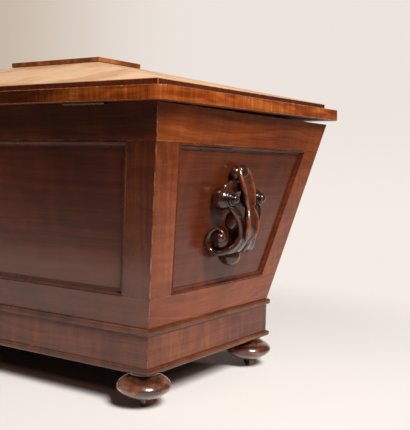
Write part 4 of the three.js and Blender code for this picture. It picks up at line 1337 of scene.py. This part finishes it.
def handle_mesh(name, side):
    """A handle's carving, on its end of the case"""
    middle_forms = [
        *(oval_rings(*oval) for oval in (head_oval, ground_oval, lower_ground_oval, bud_oval)),
        bar_rings(upper_leaf_line, leaf_outline),
        bar_rings(lower_leaf_line, leaf_outline),
        bar_rings(stalk_line, plain_outline),
    ]
    side_forms = [
        oval_rings(*head_lobe, lobe_flutes),
        bar_rings(scroll_line, ridged_outline),
        boss_rings(),
        *(oval_rings(*oval) for oval in (scroll_back_oval, scroll_eye_oval, scroll_root_oval)),
    ]
    shape = bmesh.new()
    relief = shape.verts.layers.float.new("Relief")
    for rings in (*middle_forms, *side_forms, *map(mirrored, side_forms)):
        add_rings(shape, relief, rings)
    outwards = 1 if side == "right" else -1
    across = Vector((0.0, 1.0, 0.0))
    up = Vector((outwards * math.sin(panel_lean), 0.0, math.cos(panel_lean)))
    out = Vector((outwards * math.cos(panel_lean), 0.0, -math.sin(panel_lean)))
    middle = side_place(side, 0.0, panel_depth, handle_height)
    middle.y = handle_from_middle
    turn = Matrix((across, up, out)).transposed()
    bmesh.ops.transform(shape, matrix=Matrix.Translation(middle) @ turn.to_4x4(), verts=shape.verts)
    return solid_mesh(shape, name, carving_sharp_angle)


def carved_wood(name, tones):
    """Dark wood, painted redder on the high places of the carving and darker in its hollows, as light and
    shade
    """
    material, tree, shader = new_material(name)
    place = place_along(tree, "Z")
    grain = place_group(tree, grain_group, place)
    relief = add_node(tree, "ShaderNodeAttribute", attribute_name="Relief")
    blotches = noise(tree, place, blotch_waves, roughness=0.6)
    # Painted light on the high places and painted shade in the hollows
    shade = weighted(tree, (relief.outputs["Fac"], relief_light_share), (blotches, blotch_share),
                     (grain["Fibres"], fibre_share))
    set_inputs(tree, shader, {
        "Base Color": ramp(tree, fade(tree, shade, start=0.1, end=0.9), tones),
        "Roughness": fade(tree, grain["Cloud"], start=0.3, end=0.7, low=0.1, high=0.22),
        "Normal": bumped(tree, grain["Fibres"], strength=0.15, depth=pore_depth),
        "Coat Weight": 0.7,
        "Coat Roughness": 0.06,
    })
    return material


panel_lean = math.atan2(case_lean.x, case_top - case_foot)
handle_wood = carved_wood("Carved handle wood", handle_tones)

for side in ("left", "right"):
    name = f"{side}_handle_carving"
    new_piece(name, handle_mesh(name, side), [handle_wood], "case", [f"{side}_handle"])

# The studio
# A white paper sweep, painted grey under the case as painted shadow. Left of the case and in
# front of it the paper is painted in shade; further off it glows as a painted backdrop that
# darkens to one side and is lighter low down. One large soft light stands to the left and
# behind, and the camera has the photograph's angle.

paper_left = -6.0
paper_right = 14.0
paper_front = 6.0
paper_back = -3.6
paper_curve = 0.7
paper_top = 7.0
paper_curve_steps = 16
white_left = (-0.5, -1.15)
white_front = (0.42, 0.75)
painted_shadow_half = (0.23, 0.115)
painted_shadow_soft_share = 0.8
wall_darkens = (2.6, 5.4)
wall_low_height = 0.8
glow_reach = (0.5, 1.05)
camera_place = (-0.8873, 0.9471, 0.3258)
camera_yaw = 0.581
camera_pitch = -0.063
camera_roll = 0.025
camera_lens = 64.02
camera_shift = (-0.0035, 0.0009)
camera_clip = 0.01
film_width = 36.0
light_place = Vector((-3.55, 1.75, 3.6))
light_target = Vector((-0.25, 0.1, 0.1))
light_size = (1.7, 1.7)
light_power = 362.0
paper_colour = "f7f0ea"
painted_shadow_colour = "746c66"
shade_colour = "6b645e"
wall_light_colour = "ede4dd"
wall_dark_colour = "c6b5a4"
wall_low_colour = "f5ece5"
room_colour = "0f0d0b"


def seen_directly(tree):
    """One for what the camera sees, in mirrors and through glass too, and zero for soft light"""
    ray = add_node(tree, "ShaderNodeLightPath").outputs
    seen = calculate(tree, "MAXIMUM", ray["Is Camera Ray"], ray["Is Glossy Ray"])
    return calculate(tree, "MAXIMUM", seen, ray["Is Transmission Ray"])


def white_paper():
    """Paper that takes the light near the case and looks evenly lit further off"""
    material, tree, shader = new_material("White paper")
    place = object_place(tree)
    parts = split_axes(tree, place)
    in_shade = calculate(tree, "MAXIMUM", fade(tree, parts["X"], *white_left),
                         fade(tree, parts["Y"], *white_front))
    # Painted shadow: the paper turns grey under the case
    beside_painted_shadow = calculate(tree, "MAXIMUM", *(
        calculate(tree, "DIVIDE", calculate(tree, "ABSOLUTE", parts[axis]), half_size)
        for axis, half_size in zip("XY", painted_shadow_half)
    ))
    sheet = blend_colours(tree, in_shade, paper_colour, shade_colour)
    sheet = blend_colours(tree, fade(tree, beside_painted_shadow, 1.0, painted_shadow_soft_share), sheet, painted_shadow_colour)
    wall = blend_colours(tree, fade(tree, parts["X"], *wall_darkens), wall_light_colour, wall_dark_colour)
    wall = blend_colours(tree, fade(tree, parts["Z"], wall_low_height, 0.0), wall, wall_low_colour)
    wall = blend_colours(tree, in_shade, wall, shade_colour)
    distance = add_node(tree, "ShaderNodeVectorMath", {0: place}, operation="LENGTH")
    far = fade(tree, distance.outputs["Value"], *glow_reach)
    set_inputs(tree, shader, {"Base Color": sheet, "Roughness": 0.9, "Specular IOR Level": 0.1})
    mix = add_node(tree, "ShaderNodeMixShader", {
        0: calculate(tree, "MULTIPLY", far, seen_directly(tree)),
        1: shader.outputs[0],
        2: add_node(tree, "ShaderNodeEmission", {"Color": wall}).outputs[0],
    })
    set_inputs(tree, tree.nodes["Material Output"], {"Surface": mix.outputs[0]})
    return material


def paper_sweep():
    """One sheet that lies on the floor and curves up into the background"""
    curve = arc_points((paper_back, paper_curve), (paper_curve, paper_curve), -90, -180,
                       paper_curve_steps)
    outline = [(paper_front, 0.0), *curve, (paper_back - paper_curve, paper_top)]
    points = [(x, y, z) for y, z in outline for x in (paper_left, paper_right)]
    faces = [(i, i + 2, i + 3, i + 1) for i in range(0, len(points) - 2, 2)]
    mesh = bpy.data.meshes.new("paper_sweep")
    mesh.from_pydata(points, [], faces)
    mesh.shade_smooth()
    mesh.materials.append(white_paper())
    paper = bpy.data.objects.new("paper_sweep", mesh)
    bpy.context.scene.collection.objects.link(paper)


def studio_world():
    """A grey room that sends almost no light of its own"""
    world = bpy.data.worlds.new("Studio")
    bpy.context.scene.world = world
    world.use_nodes = True
    tree = world.node_tree
    room = blend_colours(tree, seen_directly(tree), room_colour, shade_colour)
    set_inputs(tree, tree.nodes["Background"], {"Color": room, "Strength": 1.0})


def soft_light():
    """The large light, turned to the case"""
    light = bpy.data.lights.new("Large soft light", "AREA")
    light.shape = "RECTANGLE"
    light.size, light.size_y = light_size
    light.energy = light_power
    lamp = bpy.data.objects.new("Large soft light", light)
    lamp.location = light_place
    lamp.rotation_mode = "QUATERNION"
    lamp.rotation_quaternion = (light_target - light_place).to_track_quat("-Z", "Y")
    bpy.context.scene.collection.objects.link(lamp)


def photo_camera():
    """The camera, at the photograph's place and angle"""
    camera = bpy.data.objects.new("Camera", bpy.data.cameras.new("Camera"))
    ahead = Vector((
        math.sin(camera_yaw) * math.cos(camera_pitch),
        -math.cos(camera_yaw) * math.cos(camera_pitch),
        math.sin(camera_pitch),
    ))
    level = Vector((-math.cos(camera_yaw), -math.sin(camera_yaw), 0.0))
    upright = level.cross(ahead)
    right = level * math.cos(camera_roll) + upright * math.sin(camera_roll)
    up = upright * math.cos(camera_roll) - level * math.sin(camera_roll)
    turn = Matrix((right, up, -ahead)).transposed()
    camera.matrix_world = Matrix.Translation(camera_place) @ turn.to_4x4()
    camera.data.lens = camera_lens
    camera.data.sensor_width = film_width
    camera.data.shift_x, camera.data.shift_y = camera_shift
    camera.data.clip_start = camera_clip
    bpy.context.scene.collection.objects.link(camera)
    bpy.context.scene.camera = camera


paper_sweep()
studio_world()
soft_light()
photo_camera()

bpy.context.scene.view_settings.view_transform = "Standard"
